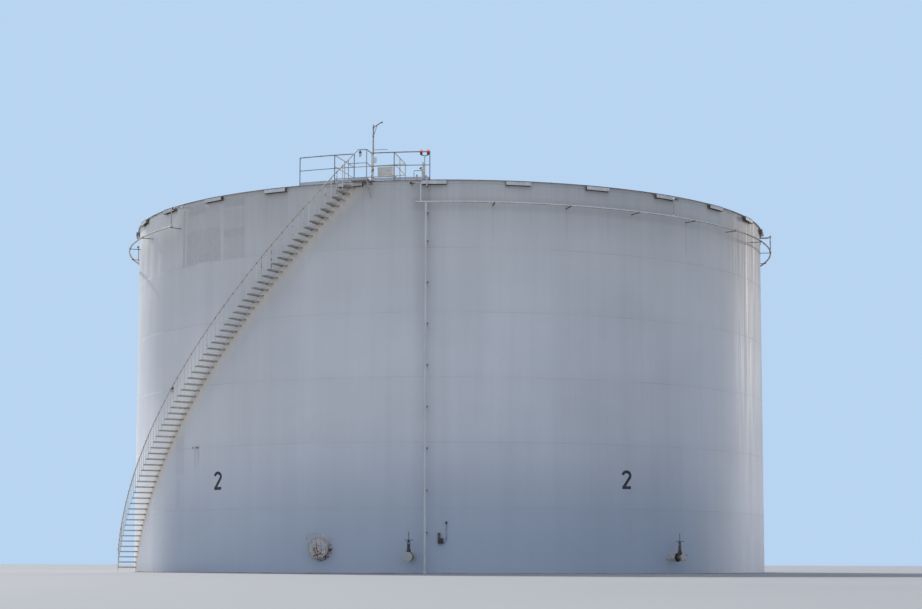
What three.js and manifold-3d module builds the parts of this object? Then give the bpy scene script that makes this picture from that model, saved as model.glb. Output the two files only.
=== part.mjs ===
// Vertical steel storage tank with a cone roof, rim vents, a spiral stair and a foam ring main.
// Millimetres, +Z up. The origin is on the tank's axis, at the underside of its bottom plate.
// Azimuth is in degrees at the axis, 0 towards -Y and positive towards +X.
import * as THREE from 'three';
import { mergeVertices } from 'three/addons/utils/BufferGeometryUtils.js';
import Module from 'manifold-3d';

const wasm = await Module();
wasm.setup();

// Tank
const TANK_RADIUS = 13716;
const COURSE_HEIGHT = 2438.4;
const COURSES = 6;
const SHELL_THICKNESS = 8;
const SHELL_SEGMENTS = 8;
const FACET = 5;
const FIRST_CORNER = 2.5;
const BOTTOM_THICKNESS = 8;
const BOTTOM_LIP = 60;
const SHELL_TOP = COURSES * COURSE_HEIGHT;
const SEAT_GAP = 0.3;
const SEAT_REACH = 20;

// Rim: curb angle, vent hoods and roof
const CURB_HEIGHT = 124.6;
const CURB_LEG = 75;
const CURB_THICKNESS = 10;
const CURB_TOP = SHELL_TOP + CURB_HEIGHT;
const RIM_SECTIONS = 9;
const HOODS_PER_SECTION = 3;
const HOOD_PITCH = 360 / (RIM_SECTIONS * HOODS_PER_SECTION);
const FIRST_HOOD = -2.5;
const HOOD_WIDTH = 960;
const HOOD_DEPTH = 150;
const HOOD_FRONT = 160;
const HOOD_BACK = 195;
const HOOD_PLATE = 5;
const ROOF_SECTORS = 6;
const ROOF_THICKNESS = 6;
const ROOF_SLOPE = 1 / 16;
const ROOF_EDGE = TANK_RADIUS + CURB_LEG;
const ROOF_HOLE = 300;

// Spiral stair
const TREADS = 67;
const RISE = 217.2;
const TREAD_ANGLE = 0.9085;
const LANDING_START = -15.25;
const LANDING_END = -12.4;
const TREAD_WIDTH = 252;
const STAIR_RADIUS = 14440;
const TREAD_PLATE = 6;
const TREAD_LIP = 50;
const FLIGHTS = [10, 10, 10, 10, 9, 9, 9];
const HANDRAIL_SECTIONS = [17, 17, 17, 16];
const HANDRAIL_HEIGHT = 730;
const HANDRAIL_RADIUS = 21;
const POST_SIZE = 30;
const POST_DEPTH = 20;
const POST_RADIUS = STAIR_RADIUS - 15;
const POST_EMBED = 3;
const SECTION_LEAD = 0.2;
const CLIMB = RISE / THREE.MathUtils.degToRad(TREAD_ANGLE) / POST_RADIUS;
const STRETCH = Math.hypot(1, CLIMB);
const LAMP_STEM = 14;
const STAIR_LAMP_TREAD = 30;

// Landing at the head of the stair
const LANDING_TOP = (TREADS + 1) * RISE;
const LANDING_FRAME = 50;
const LANDING_APRON = 80;
const LANDING_PLATE_ANGLE = 0.04;
const LANDING_BEAMS = [-13.5, -12.55];
const KNEE_BRACE = { azimuth: -12.55, inset: 60, foot: 14140, radius: 18 };
const LANDING_LAMP = -13.5;
const GUARD_HEIGHT = 1070;
const GUARD_TOP = LANDING_TOP + GUARD_HEIGHT;
const GUARD_MIDDLE = LANDING_TOP + 560;

// Roof platform and rim guardrail
const RIM_POST_RADIUS = 13750;
const GUARD_TUBE = 21;
const MID_RAIL = 16;
const GUARD_POST = 38;
const GUARD_LEFT = [-24.7, -18.6, -15.3];
const GUARD_RIGHT = [-12.42, -8.8, -3.15];
const TOE_BOARD = 100;
const TOE_PLATE = 8;
const TOE_GAP = 15;
const DECK_TOP = 14960;
const DECK_THICKNESS = 35;
const DECK_OUTER = 13630;
const DECK_MARGIN = 45;
const DECK_BEARER = 60;
const REAR_MIDDLE = 15400;
const PLATFORM_SIDES = [
  { front: -18.6, rear: { radius: 11450, azimuth: -19.2 } },
  { front: -8.8, rear: { radius: 11600, azimuth: -8.6 } },
];
const INSTRUMENT_BOX = { width: 595, depth: 180, height: 340, along: 0.635, base: 15390 };

// Davit mast and obstruction light
const MAST = { azimuth: -12.25, clearance: 32, radius: 28, head: 16940 };
const MAST_ARM = { from: 16825, to: 17045, reach: 1.45, radius: 20 };
const MAST_BRACE = { from: 16480, share: 0.43, radius: 12 };
const MAST_ROD = { height: 15970, reach: 2.33, radius: 9 };
const MAST_WINCH = { across: 110, depth: 90, height: 230, turn: 0.31, middle: 15570 };
const LIGHT = { radius: 13640, azimuth: -4, lamps: 15820, spread: 0.55, post: 22, arm: 14, fork: 15690 };
const LIGHT_BOX = { across: 85, depth: 70, turn: -0.2, top: 15460 };

// Foam ring main and riser
const RING_RADIUS = 14150;
const RING_HEIGHT = 13850;
const RING_PIPE = 32;
const RING_START = -5.2;
const RING_END = 307.8;
const FIRST_BRACKET = 6.8;
const BRACKET_PITCH = 12.03;
const RING_BRACKETS = [5, 4, 4, 4, 4, 5];
const FOAM_MAKERS = [
  { azimuth: -4.4, run: -380 },
  { azimuth: 38.1, run: 400 },
  { azimuth: 80, run: 400 },
  { azimuth: 124, run: 400 },
  { azimuth: 166, run: 400 },
  { azimuth: 218, run: 400 },
  { azimuth: 266, run: 400 },
  { azimuth: 307.5, run: 620 },
];
const MAKER_HEIGHT = 14575;
const MAKER_INSET = 120;
const MAKER_BODY = 45;
const MAKER_PIPE = 24;
const BRACKET_BAR = { width: 50, thickness: 12, overhang: 15 };
const RISER_AZIMUTH = -3.6;
const RISER_PIPE = 44.5;
const RISER_BRACKETS = [1500, 3050, 4600, 6150, 7700, 9250, 10800, 12350, 13400];
const RISER_BRACKET_WIDTH = 60;
const RISER_FLANGE = { radius: 95, thickness: 24 };

// Fittings low on the shell
const MANWAY = { azimuth: -20.6, height: 950, neck: 305, flange: 415, reach: 230, cover: 50 };
const OUTLET_AZIMUTHS = [-6, 38.7];
const OUTLET_HEIGHT = 620;
const OUTLET_PIPE = 110;
const OUTLET_REACH = 700;
const OUTLET_FLANGE = { radius: 172, thickness: 30 };
const VALVE = { reach: 450, across: 240, depth: 190, height: 300 };
const VALVE_NECK = { radius: 60, top: 560 };
const VALVE_STEM = { radius: 16, top: 920 };
const VALVE_WHEEL = { radius: 170, height: 600, thickness: 25 };

// Colours
const WHITE_PAINT = { color: 0xd9dbd8, roughness: 0.55, metalness: 0 };
const ROOF_PAINT = { color: 0xcfd1cd, roughness: 0.65, metalness: 0 };
const RAIL_PAINT = { color: 0xcfcdc4, roughness: 0.55, metalness: 0 };
const STAIR_PAINT = { color: 0xc4c0b5, roughness: 0.7, metalness: 0 };
const GREY_STEEL = { color: 0x8b8d8c, roughness: 0.5, metalness: 0.4 };
const DARK_STEEL = { color: 0x3c3a38, roughness: 0.6, metalness: 0.3 };
const RED_GLASS = { color: 0xc0401c, roughness: 0.2, metalness: 0 };
const CLEAR_GLASS = { color: 0xd8dcdc, roughness: 0.15, metalness: 0 };

// Half height of a hexagon that lies on a flat, for a corner radius of 1
const HEX_FLAT = Math.sin(Math.PI / 3);

const tank = new THREE.Group();

function addPiece(name, solid, finish) {
  const mesh = new THREE.Mesh(geometryOf(solid), new THREE.MeshStandardMaterial(finish));
  mesh.name = name;
  tank.add(mesh);
}

function solidOf(geometry) {
  geometry.deleteAttribute('normal');
  geometry.deleteAttribute('uv');
  const merged = mergeVertices(geometry);
  const vertProperties = Float32Array.from(merged.getAttribute('position').array);
  const triVerts = Uint32Array.from(merged.getIndex().array);
  return new wasm.Manifold(new wasm.Mesh({ numProp: 3, vertProperties, triVerts }));
}

function geometryOf(solid) {
  const { vertProperties, triVerts } = solid.getMesh();
  const geometry = new THREE.BufferGeometry();
  geometry.setAttribute('position', new THREE.BufferAttribute(Float32Array.from(vertProperties), 3));
  geometry.setIndex(Array.from(triVerts));
  geometry.computeVertexNormals();
  return geometry;
}

function joined(solids) {
  return solids.reduce((whole, solid) => whole.add(solid));
}

function polar(radius, azimuth, height) {
  const angle = THREE.MathUtils.degToRad(azimuth);
  return new THREE.Vector3(radius * Math.sin(angle), -radius * Math.cos(angle), height);
}

// An outline of [radius, height] points bent round the axis, climbing by rise on the way
function bent(outline, from, to, steps, rise = 0) {
  const shape = new THREE.Shape(outline.map(([radius, height]) => new THREE.Vector2(radius, height)));
  const geometry = new THREE.ExtrudeGeometry(shape, { depth: 1, steps, bevelEnabled: false });
  const position = geometry.getAttribute('position');
  for (let i = 0; i < position.count; i += 1) {
    const along = 1 - position.getZ(i);
    const azimuth = from + (to - from) * along;
    const point = polar(position.getX(i), azimuth, position.getY(i) + rise * along);
    position.setXYZ(i, point.x, point.y, point.z);
  }
  return solidOf(geometry);
}

function rectangle(inner, outer, low, high) {
  return [[inner, low], [outer, low], [outer, high], [inner, high]];
}

// A six-sided section with a flat underside; stretch keeps a climbing tube round across its run
function hexagon(radius, height, size, stretch = 1) {
  const points = [];
  for (let i = 0; i < 6; i += 1) {
    const angle = i * Math.PI / 3;
    points.push([radius + size * Math.cos(angle), height + size * stretch * Math.sin(angle)]);
  }
  return points;
}

// A box given by its tangential, radial and vertical sizes, centred at an azimuth
function block(across, radial, up, radius, azimuth, height) {
  const geometry = new THREE.BoxGeometry(across, radial, up);
  geometry.translate(0, -radius, height);
  geometry.rotateZ(THREE.MathUtils.degToRad(azimuth));
  return solidOf(geometry);
}

// A straight bar between two points
function bar(start, end, radius, sides = 6) {
  const run = new THREE.Vector3().subVectors(end, start);
  const geometry = new THREE.CylinderGeometry(radius, radius, run.length(), sides);
  geometry.translate(0, run.length() / 2, 0);
  const turn = new THREE.Quaternion().setFromUnitVectors(new THREE.Vector3(0, 1, 0), run.normalize());
  geometry.applyQuaternion(turn);
  geometry.translate(start.x, start.y, start.z);
  return solidOf(geometry);
}

// A solid turned about a vertical axis that passes through a point
function turned(profile, centre, sides) {
  const points = profile.map(([radius, height]) => new THREE.Vector2(radius, height));
  const geometry = new THREE.LatheGeometry(points, sides);
  geometry.rotateX(Math.PI / 2);
  geometry.translate(centre.x, centre.y, centre.z);
  return solidOf(geometry);
}

// The flats of the shell's outside, which everything welded to it is cut to
function shellCore() {
  const margin = 1000;
  const radius = TANK_RADIUS + SEAT_GAP;
  const geometry = new THREE.CylinderGeometry(radius, radius, SHELL_TOP + margin, 360 / FACET);
  geometry.rotateX(Math.PI / 2);
  geometry.rotateZ(THREE.MathUtils.degToRad(FIRST_CORNER));
  geometry.translate(0, 0, (SHELL_TOP + margin) / 2);
  return solidOf(geometry);
}

function roofTop(radius) {
  return CURB_TOP + ROOF_THICKNESS + (ROOF_EDGE - radius) * ROOF_SLOPE;
}

// The flats of the roof's top, which everything that stands on the roof is cut to
function roofCore() {
  const profile = [
    new THREE.Vector2(0, SHELL_TOP),
    new THREE.Vector2(ROOF_EDGE, SHELL_TOP),
    new THREE.Vector2(ROOF_EDGE, roofTop(ROOF_EDGE) + SEAT_GAP),
    new THREE.Vector2(0, roofTop(0) + SEAT_GAP),
  ];
  const geometry = new THREE.LatheGeometry(profile, 360 / FACET);
  geometry.rotateX(Math.PI / 2);
  geometry.rotateZ(THREE.MathUtils.degToRad(FIRST_CORNER));
  return solidOf(geometry);
}

const shellSide = shellCore();
const roofSide = roofCore();

function seated(solid) {
  return solid.subtract(shellSide);
}

function standing(solid) {
  return solid.subtract(roofSide);
}

function addBottom() {
  const radius = TANK_RADIUS + BOTTOM_LIP;
  const plate = new THREE.CylinderGeometry(radius, radius, BOTTOM_THICKNESS, 360 / FACET);
  plate.rotateX(Math.PI / 2);
  plate.rotateZ(THREE.MathUtils.degToRad(FIRST_CORNER));
  plate.translate(0, 0, BOTTOM_THICKNESS / 2);
  addPiece('bottom_plate', solidOf(plate), WHITE_PAINT);
}

function addShell() {
  const width = 360 / SHELL_SEGMENTS;
  const wall = rectangle(TANK_RADIUS - SHELL_THICKNESS, TANK_RADIUS, BOTTOM_THICKNESS, SHELL_TOP);
  for (let i = 0; i < SHELL_SEGMENTS; i += 1) {
    const from = FIRST_CORNER + i * width;
    const segment = bent(wall, from, from + width, width / FACET);
    addPiece(`shell_segment_${i + 1}`, segment, WHITE_PAINT);
  }
}

// A prism of [radius, height] points, as wide as given along the shell and centred at an azimuth
function prism(outline, width, azimuth) {
  const shape = new THREE.Shape(outline.map(([radius, height]) => new THREE.Vector2(radius, height)));
  const geometry = new THREE.ExtrudeGeometry(shape, { depth: width, bevelEnabled: false });
  geometry.translate(0, 0, -width / 2);
  geometry.rotateX(Math.PI / 2);
  geometry.rotateZ(THREE.MathUtils.degToRad(azimuth) - Math.PI / 2);
  return solidOf(geometry);
}

// Open below; its end plates reach lower at the shell than at the front
function ventHood(azimuth) {
  const embed = 2;
  const top = CURB_TOP - CURB_THICKNESS;
  const back = TANK_RADIUS - SEAT_REACH;
  const front = TANK_RADIUS + HOOD_DEPTH;
  const outside = prism([
    [back, top - HOOD_BACK],
    [TANK_RADIUS, top - HOOD_BACK],
    [front, top - HOOD_FRONT],
    [front, top + embed],
    [back, top + embed],
  ], HOOD_WIDTH, azimuth);
  const inside = prism(
    rectangle(back, front - HOOD_PLATE, top - HOOD_BACK - embed, top - HOOD_PLATE),
    HOOD_WIDTH - 2 * HOOD_PLATE,
    azimuth,
  );
  return seated(outside.subtract(inside));
}

function addRim() {
  const inner = TANK_RADIUS - SHELL_THICKNESS;
  const angle = [
    [inner, SHELL_TOP],
    [TANK_RADIUS, SHELL_TOP],
    [TANK_RADIUS, CURB_TOP - CURB_THICKNESS],
    [ROOF_EDGE, CURB_TOP - CURB_THICKNESS],
    [ROOF_EDGE, CURB_TOP],
    [inner, CURB_TOP],
  ];
  const width = HOODS_PER_SECTION * HOOD_PITCH;
  for (let i = 0; i < RIM_SECTIONS; i += 1) {
    const centre = FIRST_HOOD + i * width;
    const from = FIRST_HOOD + (i - 0.5) * width;
    const to = FIRST_HOOD + (i + 0.5) * width;
    const pieces = [bent(angle, from, to, width / FACET)];
    for (const place of [-1, 0, 1]) {
      pieces.push(ventHood(centre + place * HOOD_PITCH));
    }
    addPiece(`rim_vents_${i + 1}`, joined(pieces), WHITE_PAINT);
  }
}

function addRoof() {
  const width = 360 / ROOF_SECTORS;
  const rise = (ROOF_EDGE - ROOF_HOLE) * ROOF_SLOPE;
  const plate = [
    [ROOF_EDGE, CURB_TOP],
    [ROOF_EDGE, CURB_TOP + ROOF_THICKNESS],
    [ROOF_HOLE, CURB_TOP + ROOF_THICKNESS + rise],
    [ROOF_HOLE, CURB_TOP + rise],
  ];
  for (let i = 0; i < ROOF_SECTORS; i += 1) {
    const from = FIRST_CORNER + i * width;
    const sector = bent(plate, from, from + width, width / FACET);
    addPiece(`roof_sector_${i + 1}`, sector, ROOF_PAINT);
  }
}

// A neck on a flange, with a cap that overhangs it
function addCentreVent() {
  const base = roofTop(ROOF_HOLE) + SEAT_GAP;
  const profile = [[0, 0], [450, 0], [450, 12], [250, 12], [250, 300], [430, 300], [430, 420], [0, 520]];
  addPiece('centre_vent', turned(profile, new THREE.Vector3(0, 0, base), 12), ROOF_PAINT);
}

function treadFront(number) {
  return LANDING_START - (TREADS + 1 - number) * TREAD_ANGLE;
}

// Turns a piece modelled at azimuth 0, with the tread's front edge on -X, to a tread's place
function atTread(geometry, number) {
  const centre = treadFront(number) + THREE.MathUtils.radToDeg(TREAD_WIDTH / 2 / STAIR_RADIUS);
  geometry.rotateZ(THREE.MathUtils.degToRad(centre));
  return solidOf(geometry);
}

function tread(number) {
  const half = TREAD_WIDTH / 2;
  const web = half - TREAD_PLATE;
  const channel = new THREE.Shape([
    new THREE.Vector2(-half, 0),
    new THREE.Vector2(-half, -TREAD_LIP),
    new THREE.Vector2(-web, -TREAD_LIP),
    new THREE.Vector2(-web, -TREAD_PLATE),
    new THREE.Vector2(web, -TREAD_PLATE),
    new THREE.Vector2(web, -TREAD_LIP),
    new THREE.Vector2(half, -TREAD_LIP),
    new THREE.Vector2(half, 0),
  ]);
  const start = TANK_RADIUS + SEAT_GAP;
  const geometry = new THREE.ExtrudeGeometry(channel, { depth: STAIR_RADIUS - start, bevelEnabled: false });
  geometry.rotateX(Math.PI / 2);
  geometry.translate(0, -start, number * RISE);
  return atTread(geometry, number);
}

// A length of the post in front of a tread's outer corner
function stairPost(number, low, high, embed) {
  const across = POST_SIZE + embed;
  const geometry = new THREE.BoxGeometry(across, POST_DEPTH, high - low);
  geometry.translate(embed - TREAD_WIDTH / 2 - across / 2, -POST_RADIUS, (low + high) / 2);
  return atTread(geometry, number);
}

// The foot of a post, which ties a tread to the one below it or stands on the ground
function tie(number, firstOfFlight) {
  const below = (number - 1) * RISE;
  const standing = firstOfFlight ? below + SEAT_GAP : below - TREAD_PLATE / 2;
  return stairPost(number, number === 1 ? 0 : standing, number * RISE, POST_EMBED);
}

function addStair() {
  let number = 1;
  FLIGHTS.forEach((count, flight) => {
    const pieces = [];
    for (let i = 0; i < count; i += 1) {
      pieces.push(tread(number), tie(number, i === 0));
      number += 1;
    }
    addPiece(`stair_flight_${flight + 1}`, joined(pieces), STAIR_PAINT);
  });
}

function handrailHeight(azimuth) {
  return LANDING_TOP + HANDRAIL_HEIGHT + (azimuth - LANDING_START) * RISE / TREAD_ANGLE;
}

function upperPost(number) {
  const azimuth = treadFront(number) - THREE.MathUtils.radToDeg(POST_SIZE / 2 / STAIR_RADIUS);
  return stairPost(number, number * RISE + SEAT_GAP, handrailHeight(azimuth), 0);
}

function handrailTube(from, to, steps) {
  const section = hexagon(POST_RADIUS, handrailHeight(from), HANDRAIL_RADIUS, STRETCH);
  return bent(section, from, to, steps, handrailHeight(to) - handrailHeight(from));
}

function addHandrails() {
  let number = 1;
  HANDRAIL_SECTIONS.forEach((count, section) => {
    const from = treadFront(number) - SECTION_LEAD;
    const pieces = [handrailTube(from, from + count * TREAD_ANGLE, Math.ceil(count / 2))];
    for (let i = 0; i < count; i += 1) {
      pieces.push(upperPost(number));
      number += 1;
    }
    addPiece(`stair_handrail_${section + 1}`, joined(pieces), RAIL_PAINT);
  });
}

function addLanding() {
  const under = LANDING_TOP - TREAD_PLATE;
  const deck = rectangle(ROOF_EDGE + TREAD_PLATE, STAIR_RADIUS, under, LANDING_TOP);
  const apron = rectangle(STAIR_RADIUS - TREAD_PLATE, STAIR_RADIUS, under - LANDING_APRON, LANDING_TOP);
  const cheekInner = TANK_RADIUS + HOOD_DEPTH + SEAT_REACH;
  const cheek = rectangle(cheekInner, STAIR_RADIUS, under - LANDING_FRAME, LANDING_TOP);
  const pieces = [
    bent(deck, LANDING_START, LANDING_END, 3),
    bent(apron, LANDING_START, LANDING_END, 3),
    bent(cheek, LANDING_START, LANDING_START + LANDING_PLATE_ANGLE, 1),
    bent(cheek, LANDING_END - LANDING_PLATE_ANGLE, LANDING_END, 1),
  ];
  const reach = STAIR_RADIUS - TANK_RADIUS + SEAT_REACH;
  const middle = STAIR_RADIUS - reach / 2;
  const level = CURB_TOP - CURB_THICKNESS - SEAT_GAP - LANDING_FRAME / 2;
  for (const azimuth of LANDING_BEAMS) {
    pieces.push(seated(block(LANDING_FRAME, reach, LANDING_FRAME, middle, azimuth, level)));
  }
  const { azimuth, inset, foot, radius } = KNEE_BRACE;
  const head = polar(STAIR_RADIUS - inset, azimuth, under - inset);
  pieces.push(seated(bar(head, polar(TANK_RADIUS - SEAT_REACH, azimuth, foot), radius)));
  addPiece('stair_landing', joined(pieces), STAIR_PAINT);
}

function addLandingRail() {
  const corner = LANDING_END - 0.1;
  const climbEnd = LANDING_START + (GUARD_HEIGHT - HANDRAIL_HEIGHT) * TREAD_ANGLE / RISE;
  const start = LANDING_START - SECTION_LEAD;
  const end = RIM_POST_RADIUS + 40;
  const low = LANDING_TOP + SEAT_GAP;
  addPiece('landing_rail', joined([
    handrailTube(start, climbEnd, 1),
    bent(hexagon(POST_RADIUS, GUARD_TOP, HANDRAIL_RADIUS), climbEnd - 0.05, corner + 0.08, 1),
    bent(hexagon(POST_RADIUS, GUARD_MIDDLE, MID_RAIL), LANDING_START - 0.05, corner, 1),
    bar(polar(POST_RADIUS, corner, GUARD_TOP), polar(end, corner, GUARD_TOP), HANDRAIL_RADIUS),
    bar(polar(POST_RADIUS, corner, GUARD_MIDDLE), polar(end, corner, GUARD_MIDDLE), MID_RAIL),
    stairPost(TREADS + 1, TREADS * RISE + SEAT_GAP, handrailHeight(LANDING_START), 0),
    block(POST_SIZE, POST_SIZE, GUARD_TOP - low, POST_RADIUS, corner, (GUARD_TOP + low) / 2),
  ]), RAIL_PAINT);
}

function rimPost(azimuth) {
  const low = CURB_TOP;
  const middle = (GUARD_TOP + low) / 2;
  return standing(block(GUARD_POST, GUARD_POST, GUARD_TOP - low, RIM_POST_RADIUS, azimuth, middle));
}

function rimGuard(azimuths) {
  const from = azimuths[0];
  const to = azimuths[azimuths.length - 1];
  const steps = Math.round((to - from) / 2);
  const toeLow = roofTop(RIM_POST_RADIUS) + TOE_GAP;
  const toeInner = RIM_POST_RADIUS - TOE_PLATE / 2;
  const toe = rectangle(toeInner, toeInner + TOE_PLATE, toeLow, toeLow + TOE_BOARD);
  return joined([
    bent(hexagon(RIM_POST_RADIUS, GUARD_TOP, GUARD_TUBE), from, to, steps),
    bent(hexagon(RIM_POST_RADIUS, GUARD_MIDDLE, MID_RAIL), from, to, steps),
    bent(toe, from, to, steps),
    ...azimuths.map(rimPost),
  ]);
}

function addRimGuards() {
  addPiece('rim_guardrail_left', rimGuard(GUARD_LEFT), RAIL_PAINT);
  addPiece('rim_guardrail_right', rimGuard(GUARD_RIGHT), RAIL_PAINT);
}

// A straight board on edge between two points, given by its thickness and height
function plank(start, end, thickness, height) {
  const run = new THREE.Vector3().subVectors(end, start);
  const geometry = new THREE.BoxGeometry(run.length(), thickness, height);
  geometry.rotateZ(Math.atan2(run.y, run.x));
  geometry.translate((start.x + end.x) / 2, (start.y + end.y) / 2, (start.z + end.z) / 2);
  return solidOf(geometry);
}

function rearCorner({ rear }, height) {
  return polar(rear.radius, rear.azimuth, height);
}

// Corners of the deck, which reaches a margin past the posts that stand on it
function deckOutline() {
  const [left, right] = PLATFORM_SIDES;
  const past = THREE.MathUtils.radToDeg(DECK_MARGIN / DECK_OUTER);
  return [
    polar(left.rear.radius - DECK_MARGIN, left.rear.azimuth - past, 0),
    polar(right.rear.radius - DECK_MARGIN, right.rear.azimuth + past, 0),
    polar(DECK_OUTER, right.front + past, 0),
    polar(DECK_OUTER, (left.front + right.front) / 2, 0),
    polar(DECK_OUTER, left.front - past, 0),
  ];
}

// The deck rests on one bearer under each side and one between
function addPlatform() {
  const shape = new THREE.Shape(deckOutline().map((corner) => new THREE.Vector2(corner.x, corner.y)));
  const plate = new THREE.ExtrudeGeometry(shape, { depth: DECK_THICKNESS, bevelEnabled: false });
  plate.translate(0, 0, DECK_TOP - DECK_THICKNESS);
  const pieces = [solidOf(plate)];
  const [left, right] = PLATFORM_SIDES;
  const embed = 5;
  const height = DECK_TOP - DECK_THICKNESS + embed - CURB_TOP;
  const middle = CURB_TOP + height / 2;
  for (const share of [0, 0.5, 1]) {
    const rear = rearCorner(left, middle).lerp(rearCorner(right, middle), share);
    const azimuth = THREE.MathUtils.lerp(left.front, right.front, share);
    const front = polar(DECK_OUTER - DECK_MARGIN, azimuth, middle);
    pieces.push(standing(plank(rear, front, DECK_BEARER, height)));
  }
  addPiece('roof_platform', joined(pieces), GREY_STEEL);
}

function addPlatformRail() {
  const outer = RIM_POST_RADIUS - 2 * GUARD_TUBE;
  const low = DECK_TOP + SEAT_GAP;
  const [left, right] = PLATFORM_SIDES;
  const pieces = [];
  for (const [height, size] of [[GUARD_TOP, GUARD_TUBE], [REAR_MIDDLE, MID_RAIL]]) {
    pieces.push(bar(rearCorner(left, height), rearCorner(right, height), size));
    for (const side of PLATFORM_SIDES) {
      pieces.push(bar(rearCorner(side, height), polar(outer, side.front, height), size));
    }
  }
  for (const side of PLATFORM_SIDES) {
    const corner = rearCorner(side, 0);
    const halfway = new THREE.Vector3().lerpVectors(corner, polar(outer, side.front, 0), 0.5);
    for (const place of [corner, halfway]) {
      const post = new THREE.BoxGeometry(GUARD_POST, GUARD_POST, GUARD_TOP - low);
      post.translate(place.x, place.y, (GUARD_TOP + low) / 2);
      pieces.push(solidOf(post));
    }
  }
  addPiece('platform_rail', joined(pieces), RAIL_PAINT);
}

// The box hangs on the walkway side of the straight rear rail
function addInstrumentBox() {
  const { width, depth, height, along, base } = INSTRUMENT_BOX;
  const [left, right] = PLATFORM_SIDES.map((side) => rearCorner(side, base + height / 2));
  const place = new THREE.Vector3().lerpVectors(left, right, along);
  const geometry = new THREE.BoxGeometry(width, depth, height);
  geometry.translate(0, -(MID_RAIL * HEX_FLAT + SEAT_GAP + depth / 2), 0);
  geometry.rotateZ(Math.atan2(right.y - left.y, right.x - left.x));
  geometry.translate(place.x, place.y, place.z);
  addPiece('instrument_box', solidOf(geometry), GREY_STEEL);
}

function addMast() {
  const radius = RIM_POST_RADIUS - GUARD_POST / 2 - MAST.clearance;
  const at = (turn, height) => polar(radius, MAST.azimuth + turn, height);
  const braceHead = THREE.MathUtils.lerp(MAST_ARM.from, MAST_ARM.to, MAST_BRACE.share);
  const { across, depth, height, turn, middle } = MAST_WINCH;
  addPiece('davit_mast', joined([
    standing(bar(at(0, CURB_TOP), at(0, MAST.head), MAST.radius)),
    bar(at(0, MAST_ARM.from), at(MAST_ARM.reach, MAST_ARM.to), MAST_ARM.radius),
    bar(at(0, MAST_BRACE.from), at(MAST_ARM.reach * MAST_BRACE.share, braceHead), MAST_BRACE.radius),
    bar(at(0, MAST_ROD.height), at(MAST_ROD.reach, MAST_ROD.height), MAST_ROD.radius),
    block(across, depth, height, radius, MAST.azimuth + turn, middle),
  ]), RAIL_PAINT);
}

function addObstructionLight() {
  const { radius, azimuth, lamps, spread, post, arm, fork } = LIGHT;
  const low = roofTop(radius) - SEAT_REACH;
  const lamp = [[0, -110], [38, -110], [48, -30], [50, 0], [62, 45], [55, 95], [0, 125]];
  const { across, depth, turn, top } = LIGHT_BOX;
  const pieces = [
    standing(bar(polar(radius, azimuth, low), polar(radius, azimuth, fork + arm), post)),
    standing(block(across, depth, top - low, radius, azimuth + turn, (top + low) / 2)),
  ];
  for (const side of [-spread, spread]) {
    pieces.push(bar(polar(radius, azimuth, fork), polar(radius, azimuth + side, lamps - 90), arm));
    pieces.push(turned(lamp, polar(radius, azimuth + side, lamps), 10));
  }
  addPiece('obstruction_light', joined(pieces), RED_GLASS);
}

// A jar lamp that hangs from the handrail by its stem
function jarLamp(azimuth, height) {
  const jar = [
    [0, -260],
    [45, -260],
    [55, -160],
    [55, -120],
    [30, -100],
    [30, -60],
    [LAMP_STEM, -60],
    [LAMP_STEM, 0],
    [0, 0],
  ];
  return turned(jar, polar(POST_RADIUS, azimuth, height), 10);
}

function addLamps() {
  const stair = treadFront(STAIR_LAMP_TREAD) + TREAD_ANGLE / 2;
  const drop = HANDRAIL_RADIUS * HEX_FLAT * STRETCH + LAMP_STEM * CLIMB + SEAT_GAP;
  addPiece('stair_lamp', jarLamp(stair, handrailHeight(stair) - drop), CLEAR_GLASS);
  const level = GUARD_TOP - HANDRAIL_RADIUS * HEX_FLAT - SEAT_GAP;
  addPiece('landing_lamp', jarLamp(LANDING_LAMP, level), CLEAR_GLASS);
}

function ringBracket(azimuth) {
  const { width, thickness, overhang } = BRACKET_BAR;
  const inner = TANK_RADIUS - SEAT_REACH;
  const outer = RING_RADIUS + RING_PIPE + overhang;
  const embed = 1.5;
  const height = RING_HEIGHT - RING_PIPE * HEX_FLAT + embed - thickness / 2;
  return seated(block(width, outer - inner, thickness, (outer + inner) / 2, azimuth, height));
}

function foamMaker({ azimuth, run }) {
  const top = polar(RING_RADIUS, azimuth, MAKER_HEIGHT);
  const turn = THREE.MathUtils.radToDeg(run / RING_RADIUS);
  const end = polar(RING_RADIUS - MAKER_INSET, azimuth + turn, MAKER_HEIGHT);
  const pad = polar(TANK_RADIUS - SEAT_REACH, azimuth + turn, MAKER_HEIGHT);
  const elbow = polar(RING_RADIUS, azimuth, MAKER_HEIGHT + 20);
  return [
    bar(polar(RING_RADIUS, azimuth, RING_HEIGHT), elbow, MAKER_PIPE),
    bar(top, end, MAKER_PIPE),
    seated(bar(end, pad, MAKER_BODY)),
  ];
}

function ringOutline() {
  return hexagon(RING_RADIUS, RING_HEIGHT, RING_PIPE);
}

function addRing() {
  let bracket = 0;
  let from = RING_START;
  RING_BRACKETS.forEach((count, index) => {
    const last = index === RING_BRACKETS.length - 1;
    const to = last ? RING_END : FIRST_BRACKET + (bracket + count - 0.5) * BRACKET_PITCH;
    const pieces = [bent(ringOutline(), from, to, Math.round((to - from) / FACET))];
    for (let i = 0; i < count; i += 1) {
      pieces.push(ringBracket(FIRST_BRACKET + (bracket + i) * BRACKET_PITCH));
    }
    for (const maker of FOAM_MAKERS) {
      if (maker.azimuth > from && maker.azimuth < to) {
        pieces.push(...foamMaker(maker));
      }
    }
    addPiece(`foam_ring_${index + 1}`, joined(pieces), WHITE_PAINT);
    bracket += count;
    from = to;
  });
}

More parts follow.
